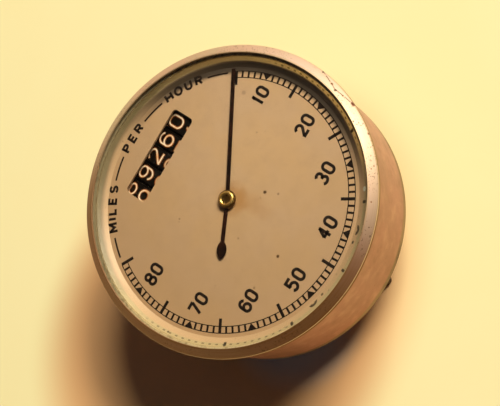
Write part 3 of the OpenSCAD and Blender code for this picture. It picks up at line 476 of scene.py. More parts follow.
DRUM_R, DRUM_FIRST_X, DRUM_PITCH = 10.5, 11.2, 5.85
AXLE_Y, AXLE_Z = 27.3, 34.1
FIGURE_W, FIGURE_H, FIGURE_PEN, FIGURE_THICK = 3.75, 5.25, 0.48, 0.05
EDGE_MORE, EDGE_THICK = 0.42, 0.02
FIGURE_TURN, FIGURE_STEP = 36, 0.6
DRUM_SHOWS = (0, 6, 2, 9, 8.38)
DRUM_SHIFT_X = (-0.1, -0.25, -0.2, -0.1, -0.35)
DRUM_LIFT = (6.0, 5.0, 7.5, 6.0, 5.0)
CREAM_FIGURE, CREAM_SOILED, CREAM_SHADED = rgb(255, 230, 196), rgb(236, 180, 120), rgb(186, 142, 96)
OCHRE_EDGE, SHADED_BELOW_Y = rgb(168, 88, 26), (25.2, 24.0)
cream_fill, w = finish("cream_fill", Specular_IOR_Level=0.4, Roughness=0.5)
spot = millimetres(w)
filled = cloud(spot, 0.7, 4.0).rise(0.42, 0.7).tint(CREAM_FIGURE, CREAM_SOILED)
# painted shade: the cream figures are darker where they pass the window's lower part
feed(cream_fill, Base_Color=layered(filled, (apart(spot)[1].rise(*SHADED_BELOW_Y), 0.85, CREAM_SHADED)))
ochre_edge, w = finish("ochre_edge", Specular_IOR_Level=0.3, Roughness=0.6)
feed(ochre_edge, Base_Color=cloud(millimetres(w), 0.8, 3.0).rise(0.4, 0.7).tint(OCHRE_EDGE, LACQUER_WORN))


def round_drum(middle):
    """Lays print round the drum whose width has its middle at this X."""
    def lay(x, y, up):
        return (middle + x, AXLE_Y + (DRUM_R + up) * sin(y / DRUM_R),
                AXLE_Z + (DRUM_R + up) * cos(y / DRUM_R))
    return lay


for k, (shows, shift, lift) in enumerate(zip(DRUM_SHOWS, DRUM_SHIFT_X, DRUM_LIFT), 1):
    middle = DRUM_FIRST_X - DRUM_PITCH * (k - 1) + shift
    for name, more, thickness, paint in (("figure_edges", EDGE_MORE, EDGE_THICK, ochre_edge),
                                         ("figures", 0.0, FIGURE_THICK, cream_fill)):
        ink = Ink(thickness, round_drum(middle), FIGURE_STEP)
        for figure in range(10):
            turn = lift + FIGURE_TURN * (shows - figure)
            ink.sign(str(figure), 0.0, DRUM_R * radians(turn), FIGURE_W + more, FIGURE_H + more,
                     FIGURE_PEN + more)
        print_piece = solid(f"{name}_{k}", ink.points, ink.faces, paint)
        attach(print_piece, f"drum_set_{k}")


# Dial: a brass disc with baked cream enamel that has turned tan. Damp has stained it orange round the
# needle's arbor, and there are a few rust specks and hair scratches. Painted shade darkens it away from
# three o'clock, and a near-black painted shadow of the bezel lies over its margin on the lamps' side.
def distance_to(place, point):
    """How far a place lies from a point."""
    return place.node("VectorMath", {"operation": "DISTANCE"}, {0: place, 1: point}, out="Value")


DIAL_TOP = 45.9
DIAL_TAN, DIAL_WARM, DIAL_GREY = rgb(213, 173, 135), rgb(216, 173, 127), rgb(192, 155, 118)
DIAL_STAIN, DIAL_RUST, DIAL_SPECK = rgb(172, 112, 40), rgb(74, 40, 8), rgb(84, 60, 34)
DIAL_SHADE, PAINTED_SHADOW, DIAL_SCRATCH = rgb(172, 134, 94), rgb(40, 33, 27), rgb(226, 188, 140)
PALEST_AT, STAIN_AT, DRIP_AT = (25.0, 2.0, DIAL_TOP), (0.7, -0.9, DIAL_TOP), (2.8, -3.2, DIAL_TOP)
PALEST_REACH, STAIN_REACH, DRIP_REACH, DRIP_STRETCH = (4.0, 76.0), (8.2, 4.2), (5.4, 2.2), (1.0, 0.45, 1.0)
LAMP_SIDE, DIAL_SHADOW_REACH, DIAL_SHADOW_RADII = (0.95, 0.3), (8.0, 32.0), (36.9, 38.6)
SCRATCH_ANGLE = radians(42)
RUST_SPECKS = (
    (7.4, -8.5, 0.38, 0.95), (8.9, -12.3, 0.26, 0.5), (-5.8, -21.9, 0.34, 0.95), (-16.7, -20.7, 0.3, 0.5),
    (5.3, -8.3, 0.2, 0.3), (-12.2, 10.3, 0.22, 0.5), (20.5, 3.2, 0.16, 0.5), (-7.6, -8.8, 0.24, 0.4),
    (28.4, 13.3, 0.5, 0.3), (-13.0, 9.9, 0.14, 0.4))
aged_enamel, w = finish("aged_enamel", Specular_IOR_Level=0.35)
spot = millimetres(w)
broad = cloud(spot, 0.05, 4.0)
fine = cloud(spot, 0.9, 4.0, 0.6)
mottle = cloud(spot, 0.22, 4.0, 0.6).rise(0.4, 0.7)
ragged = cloud(spot, 0.35, 4.0, 0.6)
pepper = cloud(spot, 2.4, 1.0).rise(0.72, 0.77)
# painted shade: the dial darkens away from a point near three o'clock
painted_shade = (distance_to(spot, PALEST_AT) + broad * 8.0).rise(*PALEST_REACH)
# painted shadow: near-black over the dial's margin on the lamps' side, where the bezel's shadow falls
painted_rim_shadow = (apart(round_axis(spot))[1] + fine * 1.2).rise(*DIAL_SHADOW_RADII)
painted_rim_shadow = painted_rim_shadow * towards(spot, *LAMP_SIDE).rise(*DIAL_SHADOW_REACH)
round_hub = (distance_to(spot, STAIN_AT) + ragged * 4.0).rise(*STAIN_REACH)
drip = (distance_to(stretched(spot, *DRIP_STRETCH), DRIP_AT) + ragged * 3.0).rise(*DRIP_REACH)
across = spot.node("VectorRotate", {"rotation_type": "Z_AXIS"}, {"Vector": spot, "Angle": SCRATCH_ANGLE})
scratch = cloud(stretched(across, 0.05, 3.0, 1.0), 1.0, 1.0).rise(0.72, 0.76)
scratch = scratch * cloud(spot, 0.12, 1.0).rise(0.5, 0.6)
tan = layered(broad.rise(0.36, 0.64).tint(DIAL_TAN, DIAL_WARM), (fine + mottle, 0.25, DIAL_GREY),
              (painted_shade, 0.66, DIAL_SHADE), (painted_rim_shadow, 0.94, PAINTED_SHADOW), (round_hub, 0.55, DIAL_STAIN),
              (drip, 0.22, DIAL_STAIN))
for px, py, size, strength in RUST_SPECKS:
    near = distance_to(spot, (px, py, DIAL_TOP)) + fine * (size * 1.4)
    tan = layered(tan, (near.rise(size * 2.5, size * 1.3), strength, DIAL_RUST))
tan = layered(tan, (pepper, 0.5, DIAL_SPECK), (scratch, 0.25, DIAL_SCRATCH))
feed(aged_enamel, Base_Color=tan, Roughness=0.42 + fine * 0.16, Normal=bump(fine - scratch, 0.1, 0.02))
dress(aged_enamel, "dial_plate")


# Dial print: the scale, figures and words are printed in black ink that has browned. Every mile an
# hour has a tick, the tens a solid wedge and a figure, and the fives a long tick.
INK_BLACK, INK_BROWN = rgb(16, 7, 3), rgb(46, 25, 12)
INK_THICK = 0.03
browned_ink, w = finish("browned_ink", Specular_IOR_Level=0.15, Roughness=0.6)
fading = cloud(millimetres(w), 0.8, 5.0, 0.65).rise(0.45, 0.75)
feed(browned_ink, Base_Color=layered(INK_BLACK, (fading, 0.55, INK_BROWN)))


def on_dial(x, y, up):
    """Lays print on the dial."""
    return (x, y, DIAL_TOP + up)


def at_clock(turn, radius):
    """A place on the dial at an angle in degrees clockwise from 12 o'clock."""
    return (radius * sin(radians(turn)), radius * cos(radians(turn)))


SLOWEST, FASTEST, SLOWEST_AT, MILE_TURN = 5, 85, 60, 3


def speed_angle(speed):
    """Where a speed stands on the scale, in degrees clockwise from 12 o'clock."""
    return SLOWEST_AT + MILE_TURN * (speed - SLOWEST)


SCALE_IN, SCALE_OUT, LONG_IN = 35.8, 37.7, 33.6
THIN_PEN, TICK_PEN, LONG_PEN, WEDGE_HALF, WEDGE_OUT = 0.28, 0.64, 0.92, 2.15, 37.8
scale = Ink(INK_THICK, on_dial)
for radius in (SCALE_IN, SCALE_OUT):
    halves = range(2 * SLOWEST, 2 * FASTEST + 1)
    scale.stroke([at_clock(speed_angle(half / 2), radius) for half in halves], THIN_PEN)
for speed in range(SLOWEST, FASTEST + 1):
    turn = speed_angle(speed)
    if speed % 10 == 0:
        scale.patch([at_clock(turn, SCALE_IN), at_clock(turn - WEDGE_HALF, WEDGE_OUT),
                     at_clock(turn + WEDGE_HALF, WEDGE_OUT)])
    else:
        inner, pen = (LONG_IN, LONG_PEN) if speed % 5 == 0 else (SCALE_IN, TICK_PEN)
        scale.stroke([at_clock(turn, inner), at_clock(turn, SCALE_OUT)], pen)
scale_print = solid("scale_print", scale.points, scale.faces, browned_ink)
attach(scale_print, "case")

NUMERALS = (("10", 29.9, 8.3), ("20", 29.1, -8.4), ("30", 20.6, -21.2), ("40", 8.2, -30.0),
            ("50", -8.5, -29.9), ("60", -20.6, -21.2), ("70", -29.3, -8.6), ("80", -29.6, 8.3))
NUMERAL_W, NUMERAL_H, NUMERAL_PEN, NUMERAL_STEP = 3.0, 4.5, 0.9, 1.7
ONE_NARROW, TEN_CLOSE = 0.45, 0.8
numerals = Ink(INK_THICK, on_dial)
for figures, nx, ny in NUMERALS:
    step = NUMERAL_STEP * (TEN_CLOSE if figures == "10" else 1.0)
    for figure, side in zip(figures, (-1, 1)):
        width = NUMERAL_W * (ONE_NARROW if figure == "1" else 1.0)
        numerals.sign(figure, nx + side * step, ny, width, NUMERAL_H, NUMERAL_PEN)
numeral_print = solid("numeral_print", numerals.points, numerals.faces, browned_ink)
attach(numeral_print, "case")

WORD_R, WORD_H, WORD_PEN = 37.45, 3.05, 0.76
WORDS = (("M", -42.4, 3.0), ("I", -38.4, 0.5), ("L", -35.0, 2.2), ("E", -30.1, 2.4), ("S", -24.7, 2.5),
         ("P", -5.1, 2.4), ("E", 0.2, 2.4), ("R", 5.4, 2.5),
         ("H", 25.4, 2.7), ("O", 30.6, 2.9), ("U", 36.0, 2.6), ("R", 41.3, 2.5))
DASHES, DASH_R, DASH_PEN = ((-56.8, -47.2), (-20.6, -9.2), (9.6, 21.2), (45.8, 55.8)), 37.35, 0.56
DASH_STEPS = 12
words = Ink(INK_THICK, on_dial)
for letter, turn, width in WORDS:
    words.sign(letter, *at_clock(turn, WORD_R), width, WORD_H, WORD_PEN, turn)
for start, end in DASHES:
    turns = [start + (end - start) * k / DASH_STEPS for k in range(DASH_STEPS + 1)]
    words.stroke([at_clock(turn, DASH_R) for turn in turns], DASH_PEN)
word_print = solid("word_print", words.points, words.faces, browned_ink)
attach(word_print, "case")


# Needle: a narrow strip of blackened brass with a leaf shaped counterweight, stamped in one piece. The
# hub holds it on the arbor.
NEEDLE_BLACK, NEEDLE_BROWN = rgb(20, 7, 2), rgb(46, 20, 8)
blackened_brass, w = finish("blackened_brass", Specular_IOR_Level=0.08)
spot = millimetres(w)
patina = cloud(spot, 0.5, 4.0)
feed(blackened_brass, Base_Color=layered(NEEDLE_BLACK, (patina.rise(0.4, 0.68), 0.7, NEEDLE_BROWN)),
     Roughness=0.55 + patina * 0.2, Normal=bump(cloud(spot, 2.0, 3.0), 0.15, 0.02))
dress(blackened_brass, "needle")


# Needle hub: a turned brass cap with a dished top, pressed on the arbor over the needle. Its crown is
# rubbed bright; the dish is painted dark brown as a painted reflection, and the skirt as painted shade.
def turned(name, profile, material, sides=256, sharp=38.0):
    """A piece turned from a closed outline of (radius, height) points."""
    points = [(r * cos(2 * pi * i / sides), r * sin(2 * pi * i / sides), z)
              for r, z in profile for i in range(sides)]
    return solid(name, points, wrapped(len(profile), sides, True), material, sharp)


HUB_R, HUB_NECK_R, HUB_COLLAR_R, HUB_BORE_R = 2.7, 1.1, 1.5, 0.6
HUB_LOW, HUB_NEEDLE_LOW, HUB_NEEDLE_TOP, HUB_TOP = 46.2, 46.5, 46.8, 47.9
HUB_CROWN_R, HUB_DISH_DEPTH, HUB_BORE_TOP = 1.75, 0.42, 47.3
HUB_STEPS, HUB_SIDES, HUB_SHARP = 10, 96, 50.0
DISH_RADII, SKIRT_RADII = (2.0, 1.4), (2.1, 2.5)
HUB_BRIGHT, HUB_DISH, HUB_SKIRT = rgb(206, 168, 96), rgb(84, 54, 18), rgb(48, 27, 9)
hub_brass, w = finish("hub_brass", Metallic=1.0)
spot = millimetres(w)
out_at = apart(round_axis(spot))[1]
dirt = cloud(spot, 1.1, 3.0)
# painted reflection in the dish and painted shade on the skirt, both dark brown
dished = (out_at + dirt * 0.5).rise(*DISH_RADII)
skirt = (out_at + dirt * 0.3).rise(*SKIRT_RADII)
feed(hub_brass, Base_Color=layered(HUB_BRIGHT, (dished, 0.85, HUB_DISH), (skirt, 0.9, HUB_SKIRT)),
     Roughness=0.22 + dirt * 0.14 + skirt * 0.15, Normal=bump(dirt, 0.08, 0.02))
shoulder = arc(HUB_CROWN_R, HUB_NEEDLE_TOP, HUB_R - HUB_CROWN_R, HUB_TOP - HUB_NEEDLE_TOP, 0, 90, HUB_STEPS)
dish = arc(0.0, HUB_TOP, HUB_CROWN_R, -HUB_DISH_DEPTH, 0, 90, HUB_STEPS)[1:]
collar = [(HUB_BORE_R, HUB_LOW), (HUB_COLLAR_R, HUB_LOW), (HUB_COLLAR_R, HUB_NEEDLE_LOW),
          (HUB_NECK_R, HUB_NEEDLE_LOW), (HUB_NECK_R, HUB_NEEDLE_TOP)]
bore = [(0.0, HUB_BORE_TOP), (HUB_BORE_R, HUB_BORE_TOP)]
hub = turned("needle_cap", collar + shoulder + dish + bore, hub_brass, HUB_SIDES, HUB_SHARP)
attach(hub, "needle_set")
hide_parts("needle_hub")


# Spacer ring: a turned ring with a hollow slope, which holds the glass off the dial. It is stove
# enamelled in the dial's cream and freckled brown. Its upper edge round three o'clock is metallic and
# painted lighter as a reflection, painted shade darkens its foot there and its upper part round eleven
# o'clock, and brown dots, dark marks and one pale glint are painted reflections of the dial and lamps.
SPACER_OUT_R, SPACER_FOOT_R, SPACER_TOP_R = 41.8, 38.9, 41.5
SPACER_TOP, SPACER_HOLLOW, SPACER_STEPS = 47.9, 0.05, 24
RING_CREAM, RING_OLIVE, RING_SPOT = rgb(202, 164, 122), rgb(186, 164, 118), rgb(84, 62, 32)
RING_GLINT, RING_SHADE, RING_LIT = rgb(240, 244, 220), rgb(84, 72, 46), rgb(246, 222, 160)
RING_DARK = rgb(40, 28, 12)
OLIVE_UP, FOOT_SHADOW_UP, LIT_EDGE_UP, SHADED_UP = (47.15, 47.45), (47.5, 46.8), (47.05, 47.35), (46.6, 47.5)
RING_LAMP_REACH, SHADED_SIDE, RING_SHADED_REACH = (8.0, 30.0), (-0.34, 0.94), (24.0, 40.0)
REFLECTED_TICK_STEP, REFLECTED_TICK_UP = 3.0, 47.42
REFLECTED_TICK_SIDES = (((0.85, 0.5), (-31.0, -37.0)), ((1.0, -0.25), (36.0, 40.0)))
# painted reflections of the dial's long ticks and figures on the ring, and a painted glint at 146.5 degrees
LONG_TICK_REFLECTIONS, TICK_UP, TICK_SIZE = (122.8, 151.5, 179.0, 207.6, 236.6), (47.1, 47.35, 47.6), 0.58
RING_MARKS = [(turn, up, TICK_SIZE, RING_DARK) for turn in LONG_TICK_REFLECTIONS for up in TICK_UP]
RING_MARKS += [(146.5, 47.3, 0.9, RING_GLINT), (167.6, 46.45, 0.62, RING_DARK),
               (191.3, 46.5, 0.6, RING_SPOT), (262.0, 47.4, 0.45, RING_SPOT)]
FIGURE_REFLECTIONS, HOOK_UP, HOOK_R, HOOK_PEN = (162.6, 196.3), 46.3, 1.0, (0.6, 0.34)


def on_slope(turn, up):
    """A place on the ring's slope at a clock angle and a height."""
    share = (up - DIAL_TOP) / (SPACER_TOP - DIAL_TOP)
    return (*at_clock(turn, SPACER_FOOT_R + share * (SPACER_TOP_R - SPACER_FOOT_R)), up)


def bowed(start, end, bow, steps):
    """Outline points from start to end, bowed by this much to the right of the way that they run."""
    run, climb = end[0] - start[0], end[1] - start[1]
    points = []
    for k in range(steps + 1):
        t = k / steps
        swell = 4 * t * (1 - t) * bow / hypot(run, climb)
        points.append((start[0] + t * run + swell * climb, start[1] + t * climb - swell * run))
    return points


gloss_enamel, w = finish("gloss_enamel", IOR=1.45)
spot = millimetres(w)
polar = round_axis(spot)
turn_at, _, up_at = apart(polar)
bloom = cloud(stretched(polar, 4.0, 0.4, 0.4), 1.0, 4.0)
freckle = cloud(spot, 0.9, 3.0).rise(0.68, 0.74)
uneven = up_at + bloom * 0.4
# painted shadow: the ring's foot on the lamps' side is painted near-black where the bezel's shadow falls
lamp_side = towards(spot, *LAMP_SIDE).rise(*RING_LAMP_REACH)
# painted reflection: the upper edge on the lamps' side is lighter, and metallic
metallic_lit_edge = (up_at + bloom * 0.3).rise(*LIT_EDGE_UP) * lamp_side
# painted shade: the ring's upper part round eleven o'clock is darker
shaded_side = (towards(spot, *SHADED_SIDE) + bloom * 6.0).rise(*RING_SHADED_REACH)
# painted reflections: rows of brown dots stand for the dial's ticks mirrored in the ring
steps = turn_at * (degrees(1.0) / REFLECTED_TICK_STEP) + 0.5
off_step = abs(steps.maths("FRACT", steps) - 0.5)
left, right = [towards(spot, *side).rise(*reach) for side, reach in REFLECTED_TICK_SIDES]
reflected_ticks = off_step.rise(0.24, 0.12) * abs(up_at - REFLECTED_TICK_UP).rise(0.24, 0.1) * (left + right)
enamel = layered(RING_CREAM, (uneven.rise(*OLIVE_UP), 0.85, RING_OLIVE),
                 (uneven.rise(*FOOT_SHADOW_UP) * lamp_side, 0.9, PAINTED_SHADOW), (metallic_lit_edge, 0.9, RING_LIT),
                 ((up_at + bloom * 0.6).rise(*SHADED_UP) * shaded_side, 0.68, RING_SHADE),
                 (reflected_ticks, 0.7, RING_SPOT))
for turn, up, size, colour in RING_MARKS:
    near = distance_to(spot, on_slope(turn, up)) + freckle * 0.2
    enamel = layered(enamel, (near.rise(size, size * 0.5), 0.92, colour))
# painted reflections of the dial's figures, as dark hooks
for turn in FIGURE_REFLECTIONS:
    off_hook = abs(distance_to(spot, on_slope(turn, HOOK_UP)) - HOOK_R)
    hook = off_hook.rise(*HOOK_PEN) * up_at.rise(HOOK_UP, HOOK_UP + 0.15)
    enamel = layered(enamel, (hook, 0.92, RING_DARK))
feed(gloss_enamel, Base_Color=layered(enamel, (freckle, 0.5, RING_SPOT)), Metallic=metallic_lit_edge * 0.92,
     Roughness=0.42 + bloom * 0.1 + freckle * 0.2 - metallic_lit_edge * 0.12)
slope = bowed((SPACER_FOOT_R, DIAL_TOP), (SPACER_TOP_R, SPACER_TOP), SPACER_HOLLOW, SPACER_STEPS)
spacer = turned("spacer_reflector", slope + [(SPACER_OUT_R, SPACER_TOP), (SPACER_OUT_R, DIAL_TOP)],
                gloss_enamel)
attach(spacer, "case")
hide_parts("spacer_ring")


# Seat ring: a thin flat nickel ring on the case flange that the glass is pressed against. Only its
# inner edge shows, dull and spotted brown, with painted shade on its side round eleven o'clock.
SEAT_NICKEL, SEAT_BROWN, SEAT_SHADED_REACH = rgb(222, 198, 150), rgb(150, 120, 78), (18.0, 38.0)
spotted_nickel, w = finish("spotted_nickel", Metallic=0.25)
spot = millimetres(w)
blots = cloud(spot, 0.6, 4.0, 0.62)
# painted shade: darker on the seat's side round eleven o'clock
shaded_side = (towards(spot, *SHADED_SIDE) + blots * 6.0).rise(*SEAT_SHADED_REACH)
spotted_and_shaded = layered(SEAT_NICKEL, (blots.rise(0.48, 0.66), 0.6, SEAT_BROWN), (shaded_side, 0.6, RING_SHADE))
feed(spotted_nickel, Base_Color=spotted_and_shaded, Roughness=0.4 + blots * 0.3)
dress(spotted_nickel, "glass_seat")


# Glass: a flat disc of clear window glass with a ground edge. It lets lamps through to the dial, and
# has the faintest haze of old polish.
GLASS_TINT = (0.97, 0.97, 0.93, 1.0)
clear_glass, w = finish("clear_glass", Transmission_Weight=1.0, IOR=1.5, Base_Color=GLASS_TINT)
haze = cloud(millimetres(w), 0.06, 3.0)
feed(clear_glass, Roughness=haze.rise(0.55, 0.8) * 0.03)
tree = clear_glass.node_tree
pane = Wire(tree, tree.nodes["Principled BSDF"].outputs[0])
past = w.node("BsdfTransparent", {}, {"Color": GLASS_TINT})
lamp_rays = [w.node("LightPath", out=f"Is {kind} Ray") for kind in ("Shadow", "Diffuse")]
mixed = w.node("MixShader", {}, {0: w.maths("MAXIMUM", *lamp_rays), 1: pane, 2: past})
tree.links.new(mixed.socket, tree.nodes["Material Output"].inputs["Surface"])
dress(clear_glass, "glass_lens")


# Bezel: a spun brass ring, nickel plated and satin polished, rolled over the case flange to hold the
# glass. The plate is worn, specked and chipped on its outer edge between two and four o'clock. Painted
# shade browns it on the side away from the lamps and towards six o'clock and dims the lamps' highlight
# near four o'clock, and a painted highlight runs round the outer edge of its face.
BEZEL_R, BEZEL_OPENING_R, BEZEL_FACE_IN_R, BEZEL_BOW = 44.98, 42.2, 42.4, 0.03
BEZEL_LOW, BEZEL_BAND_TOP, BEZEL_TOP = 46.9, 48.35, 50.2
BEZEL_LIP, BEZEL_EDGE, BEZEL_SIDES, BEZEL_SHARP = 0.14, 0.12, 320, 40.0
FACE_STEPS, LIP_STEPS, FOOT_STEPS = 16, 9, 5
RIM_BREAK = ((0.0, 0.12), (0.03, 0.02))
GLASS_TOP, GLASS_POCKET_R = 49.6, 43.1
FLANGE_TOP, FLANGE_LOW, FLANGE_R, CASE_R = 47.9, 47.4, 44.4, 43.2
NICKEL, NICKEL_ROSE = rgb(212, 190, 168), rgb(220, 188, 170)
NICKEL_LIP, NICKEL_OLIVE, NICKEL_BROWN = rgb(180, 156, 116), rgb(168, 142, 98), rgb(132, 86, 42)
NICKEL_EDGE, CHIP_RED, PIT = rgb(246, 218, 190), rgb(120, 52, 28), rgb(90, 66, 42)
LIP_RADII, INSIDE_RADII, GRIME_HEIGHTS = (43.0, 42.6), (42.32, 42.24), (48.45, 48.1)
AWAY_SHADE_SIDE, AWAY_SHADE_REACH = (-0.85, -0.2), (-4.0, 22.0)
LOW_SIDE, LOW_REACH = (0.0, -1.0), (28.0, 46.0)
DIMMED_SIDE, DIMMED_REACH = (0.82, -0.57), (34.0, 46.0)
EDGE_HIGHLIGHT_Z, EDGE_HIGHLIGHT_BAND = 48.27, (0.16, 0.05)
WEAR_AT, WEAR_SPAN, WEAR_LOW, WEAR_CLIMB = 106.3, 9.5, 43.45, 0.15
WEAR_RAGGED, WEAR_BAND = 1.5, (0.2, 0.05)
CHIPS = ((97.6, 44.8, 0.6, PIT), (103.6, 43.9, 0.5, NICKEL_BROWN), (106.6, 43.4, 0.6, PIT),
         (110.0, 43.9, 0.42, NICKEL_BROWN), (114.6, 44.8, 0.95, CHIP_RED), (127.0, 44.9, 0.55, NICKEL_BROWN),
         (121.0, 42.7, 0.4, PIT), (139.0, 44.2, 0.32, NICKEL_BROWN), (140.0, 43.5, 0.3, NICKEL_BROWN),
         (143.0, 44.0, 0.28, PIT), (152.0, 43.3, 0.34, NICKEL_BROWN), (161.0, 43.7, 0.28, PIT))


def on_face(turn, radius):
    """A place on the bezel's sloping face at a clock angle and a radius."""
    share = min(1.0, (BEZEL_R - radius) / (BEZEL_R - BEZEL_FACE_IN_R))
    return (*at_clock(turn, radius), BEZEL_BAND_TOP + share * (BEZEL_TOP - BEZEL_BAND_TOP))


satin_nickel, w = finish("satin_nickel")
spot = millimetres(w)
polar = round_axis(spot)
turn_at, out_at, up_at = apart(polar)
polishing = cloud(stretched(polar, 3.0, 9.0, 9.0), 1.0, 3.0)
rosy = cloud(spot, 0.06, 3.0)
lip = (out_at + cloud(spot, 0.5, 2.0) * 0.3).rise(*LIP_RADII)
inside = out_at.rise(*INSIDE_RADII)
# painted shade: the bezel is browner on its side away from the lamps
browner = (towards(spot, *AWAY_SHADE_SIDE) + rosy * 14.0).rise(*AWAY_SHADE_REACH)
# painted shade: the bezel is browner towards six o'clock
low_side = (towards(spot, *LOW_SIDE) + rosy * 8.0).rise(*LOW_REACH)
grime = (up_at + cloud(spot, 0.8, 3.0) * 0.3).rise(*GRIME_HEIGHTS)
# painted shade: darker where the lamps' highlight falls near four o'clock
dimmed_highlight = (towards(spot, *DIMMED_SIDE) + rosy * 4.0).rise(*DIMMED_REACH)
# painted highlight: a bright line round the outer edge of the bezel's face
edge_highlight = abs(up_at - EDGE_HIGHLIGHT_Z).rise(*EDGE_HIGHLIGHT_BAND)
pits = cloud(spot, 2.0, 3.0).rise(0.59, 0.67) * cloud(spot, 0.09, 2.0).rise(0.38, 0.55)
aside = abs(turn_at * degrees(1.0) - (90 - WEAR_AT))
aside = aside + cloud(spot, 1.2, 3.0) * WEAR_RAGGED - WEAR_RAGGED / 2
worn = abs(out_at - aside * WEAR_CLIMB - WEAR_LOW).rise(*WEAR_BAND)
worn = worn * aside.rise(WEAR_SPAN, WEAR_SPAN - WEAR_RAGGED) * cloud(spot, 1.9, 2.0).rise(0.36, 0.56)
plate = layered(rosy.rise(0.38, 0.62).tint(NICKEL, NICKEL_ROSE), (lip, 0.7, NICKEL_LIP),
                (inside, 0.8, NICKEL_OLIVE),
                (browner + polishing.rise(0.5, 0.72) * 0.2, 0.8, NICKEL_BROWN),
                (low_side, 0.42, NICKEL_BROWN), (grime, 0.7, NICKEL_BROWN), (dimmed_highlight, 0.4, NICKEL_LIP),
                (edge_highlight, 0.8, NICKEL_EDGE), (pits, 0.7, PIT), (worn, 0.75, PIT))
chipped, crumbled = worn, cloud(spot, 1.6, 3.0)
for turn, radius, size, colour in CHIPS:
    near = (distance_to(spot, on_face(turn, radius)) + crumbled * size).rise(size * 1.5, size * 0.8)
    plate = layered(plate, (near, 0.8, colour))
    chipped = chipped + near
feed(satin_nickel, Base_Color=plate, Metallic=1 - inside * 0.8,
     Roughness=0.48 + polishing * 0.12 + grime * 0.1 + browner * 0.06 + chipped * 0.2,
     Normal=bump(polishing * 0.3 - chipped - pits * 0.6, 0.3, 0.06))
foot = arc(BEZEL_R - BEZEL_EDGE, BEZEL_LOW + BEZEL_EDGE, BEZEL_EDGE, BEZEL_EDGE, -90, 0, FOOT_STEPS)
rim = [(BEZEL_R - inset, BEZEL_BAND_TOP - drop) for inset, drop in RIM_BREAK]
face = bowed((BEZEL_R, BEZEL_BAND_TOP), (BEZEL_FACE_IN_R, BEZEL_TOP), BEZEL_BOW, FACE_STEPS)[1:]
rolled_lip = arc(BEZEL_OPENING_R + BEZEL_LIP, BEZEL_TOP - BEZEL_LIP, BEZEL_LIP, BEZEL_LIP, 90, 180, LIP_STEPS)
pocket = [(BEZEL_OPENING_R, GLASS_TOP), (GLASS_POCKET_R, GLASS_TOP), (GLASS_POCKET_R, FLANGE_TOP),
          (FLANGE_R, FLANGE_TOP), (FLANGE_R, FLANGE_LOW), (CASE_R, FLANGE_LOW), (CASE_R, BEZEL_LOW)]
bezel = turned("nickel_bezel", foot + rim + face + rolled_lip + pocket, satin_nickel,
               BEZEL_SIDES, BEZEL_SHARP)
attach(bezel, "case")
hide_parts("bezel")


# Floor: a wide sheet of pale cream paper that the instrument lies on. Round the instrument's foot it
# is painted warm orange, as painted warm penumbra and light bounced off the case, and under it painted
# grey, as the cool core of its shadow.
PAPER, PAPER_DEEP = rgb(255, 239, 176), rgb(255, 236, 170)
PAPER_WARM, PAPER_GREY = rgb(255, 190, 126), rgb(222, 214, 204)
WARM_AT, WARM_REACH, WARM_STRETCH = (-26.0, 4.0, 0.0), (66.0, 46.0), (0.76, 1.0, 0.0)
GREY_AT, GREY_REACH = (-24.0, -18.0, 0.0), (25.0, 12.0)
FLOOR_SIDE, FLOOR_Z = 8.0, -0.00005
floor_paper, w = finish("floor_paper", Roughness=0.9, Specular_IOR_Level=0.1)
spot = millimetres(w)
# painted light: warm orange round the foot, standing in for the warm penumbra and bounce off the case
painted_warm_fringe = distance_to(stretched(spot, *WARM_STRETCH), WARM_AT).rise(*WARM_REACH)
# painted shade: grey under the instrument, as the cool core of its shadow
under = distance_to(spot, GREY_AT).rise(*GREY_REACH)
feed(floor_paper, Base_Color=layered(PAPER, (cloud(spot, 0.02, 3.0).rise(0.3, 0.7), 0.5, PAPER_DEEP),
                                     (painted_warm_fringe, 0.9, PAPER_WARM), (under, 0.9, PAPER_GREY)))
sheet = bpy.data.meshes.new("floor")
sheet.from_pydata([(x * FLOOR_SIDE / 2, y * FLOOR_SIDE / 2, FLOOR_Z)
                   for x, y in ((-1, -1), (1, -1), (1, 1), (-1, 1))], [], [(0, 1, 2, 3)])
sheet.materials.append(floor_paper)
floor = bpy.data.objects.new("floor", sheet)
bpy.context.scene.collection.objects.link(floor)


# Light: two large soft lamps side by side above the three o'clock side, and a pale room all round
# that is seen by the camera, in metal and through glass, and lights the rest at a low even level.
LAMPS = (("near_lamp", (0.977, -0.212, 1.0), 0.72, 46.8), ("far_lamp", (0.836, 0.088, 1.0), 0.68, 31.0))
LAMP_WARM, LAMP_AIM, LAMP_AWAY = (1.0, 0.96, 0.88), Vector((0, 0, 0.045)), 2.4
for name, direction, wide, power in LAMPS:
    lamp = bpy.data.lights.new(name, "AREA")
    lamp.shape, lamp.size, lamp.energy, lamp.color = "DISK", wide, power, LAMP_WARM
    direction = Vector(direction).normalized()
    stand = bpy.data.objects.new(name, lamp)
    stand.location = LAMP_AIM + direction * LAMP_AWAY
    stand.rotation_mode = "QUATERNION"
    stand.rotation_quaternion = direction.to_track_quat("Z", "Y")
    bpy.context.scene.collection.objects.link(stand)

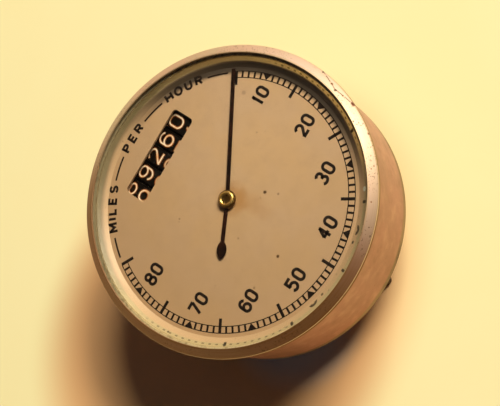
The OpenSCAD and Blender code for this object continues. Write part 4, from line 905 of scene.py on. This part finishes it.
ROOM_LOW, ROOM_TOP = rgb(254, 234, 172), rgb(44, 34, 26)
ROOM_DIM, ROOM_BRIGHT = rgb(92, 68, 46), rgb(202, 176, 160)
BRIGHT_SIDE, BRIGHT_REACH, WALLS_FROM, WALLS_TO = (0.5, 0.85), (-0.6, 0.8), (0.06, 0.42), (0.6, 0.85)
ROOM_FILL = (0.03, 0.032, 0.042, 1.0)
room = bpy.data.worlds.new("pale_room")
bpy.context.scene.world = room
room.use_nodes = True
w = Wire(room.node_tree)
outwards = w.node("TexCoord", out="Generated")
climb = apart(outwards)[2]
walls = towards(outwards, *BRIGHT_SIDE).rise(*BRIGHT_REACH).tint(ROOM_DIM, ROOM_BRIGHT)
walls = climb.rise(*WALLS_TO).tint(walls, ROOM_TOP)
backdrop = climb.rise(*WALLS_FROM).tint(ROOM_LOW, walls)
by_eye, by_metal, by_glass = [w.node("LightPath", out=f"Is {kind} Ray")
                              for kind in ("Camera", "Glossy", "Transmission")]
seen = w.maths("MINIMUM", by_eye + by_metal + by_glass, 1.0)
glow = room.node_tree.nodes["Background"].inputs["Color"]
room.node_tree.links.new(seen.tint(ROOM_FILL, backdrop).socket, glow)


# Camera: a long lens above the six o'clock side, rolled so that the dial's upright leans to the left.
# Its place and lens were fitted to the ellipses of the bezel and the scale.
CAMERA_RIGHT = Vector((0.51287, -0.76545, -0.38870))
CAMERA_UP = Vector((0.85659, 0.48623, 0.17275))
CAMERA_BACK = Vector((0.05676, -0.42156, 0.90505))
CAMERA_LENS, CAMERA_SENSOR, CAMERA_AWAY = 87.84, 36.0, 0.34423
CAMERA_ASIDE, CAMERA_OVER, CAMERA_AIM_Z = 0.00676, -0.00115, 0.048
CAMERA_NEAR, CAMERA_FAR = 0.01, 50.0
lens = bpy.data.cameras.new("camera")
lens.lens, lens.sensor_width, lens.sensor_fit = CAMERA_LENS, CAMERA_SENSOR, "HORIZONTAL"
lens.clip_start, lens.clip_end = CAMERA_NEAR, CAMERA_FAR
camera = bpy.data.objects.new("camera", lens)
facing = Matrix((CAMERA_RIGHT, CAMERA_UP, CAMERA_BACK)).transposed()
stand = (Vector((0, 0, CAMERA_AIM_Z)) + CAMERA_BACK * CAMERA_AWAY
         + CAMERA_RIGHT * CAMERA_ASIDE + CAMERA_UP * CAMERA_OVER)
camera.matrix_world = Matrix.Translation(stand) @ facing.to_4x4()
bpy.context.scene.collection.objects.link(camera)
bpy.context.scene.camera = camera
bpy.context.scene.view_settings.view_transform = "Standard"
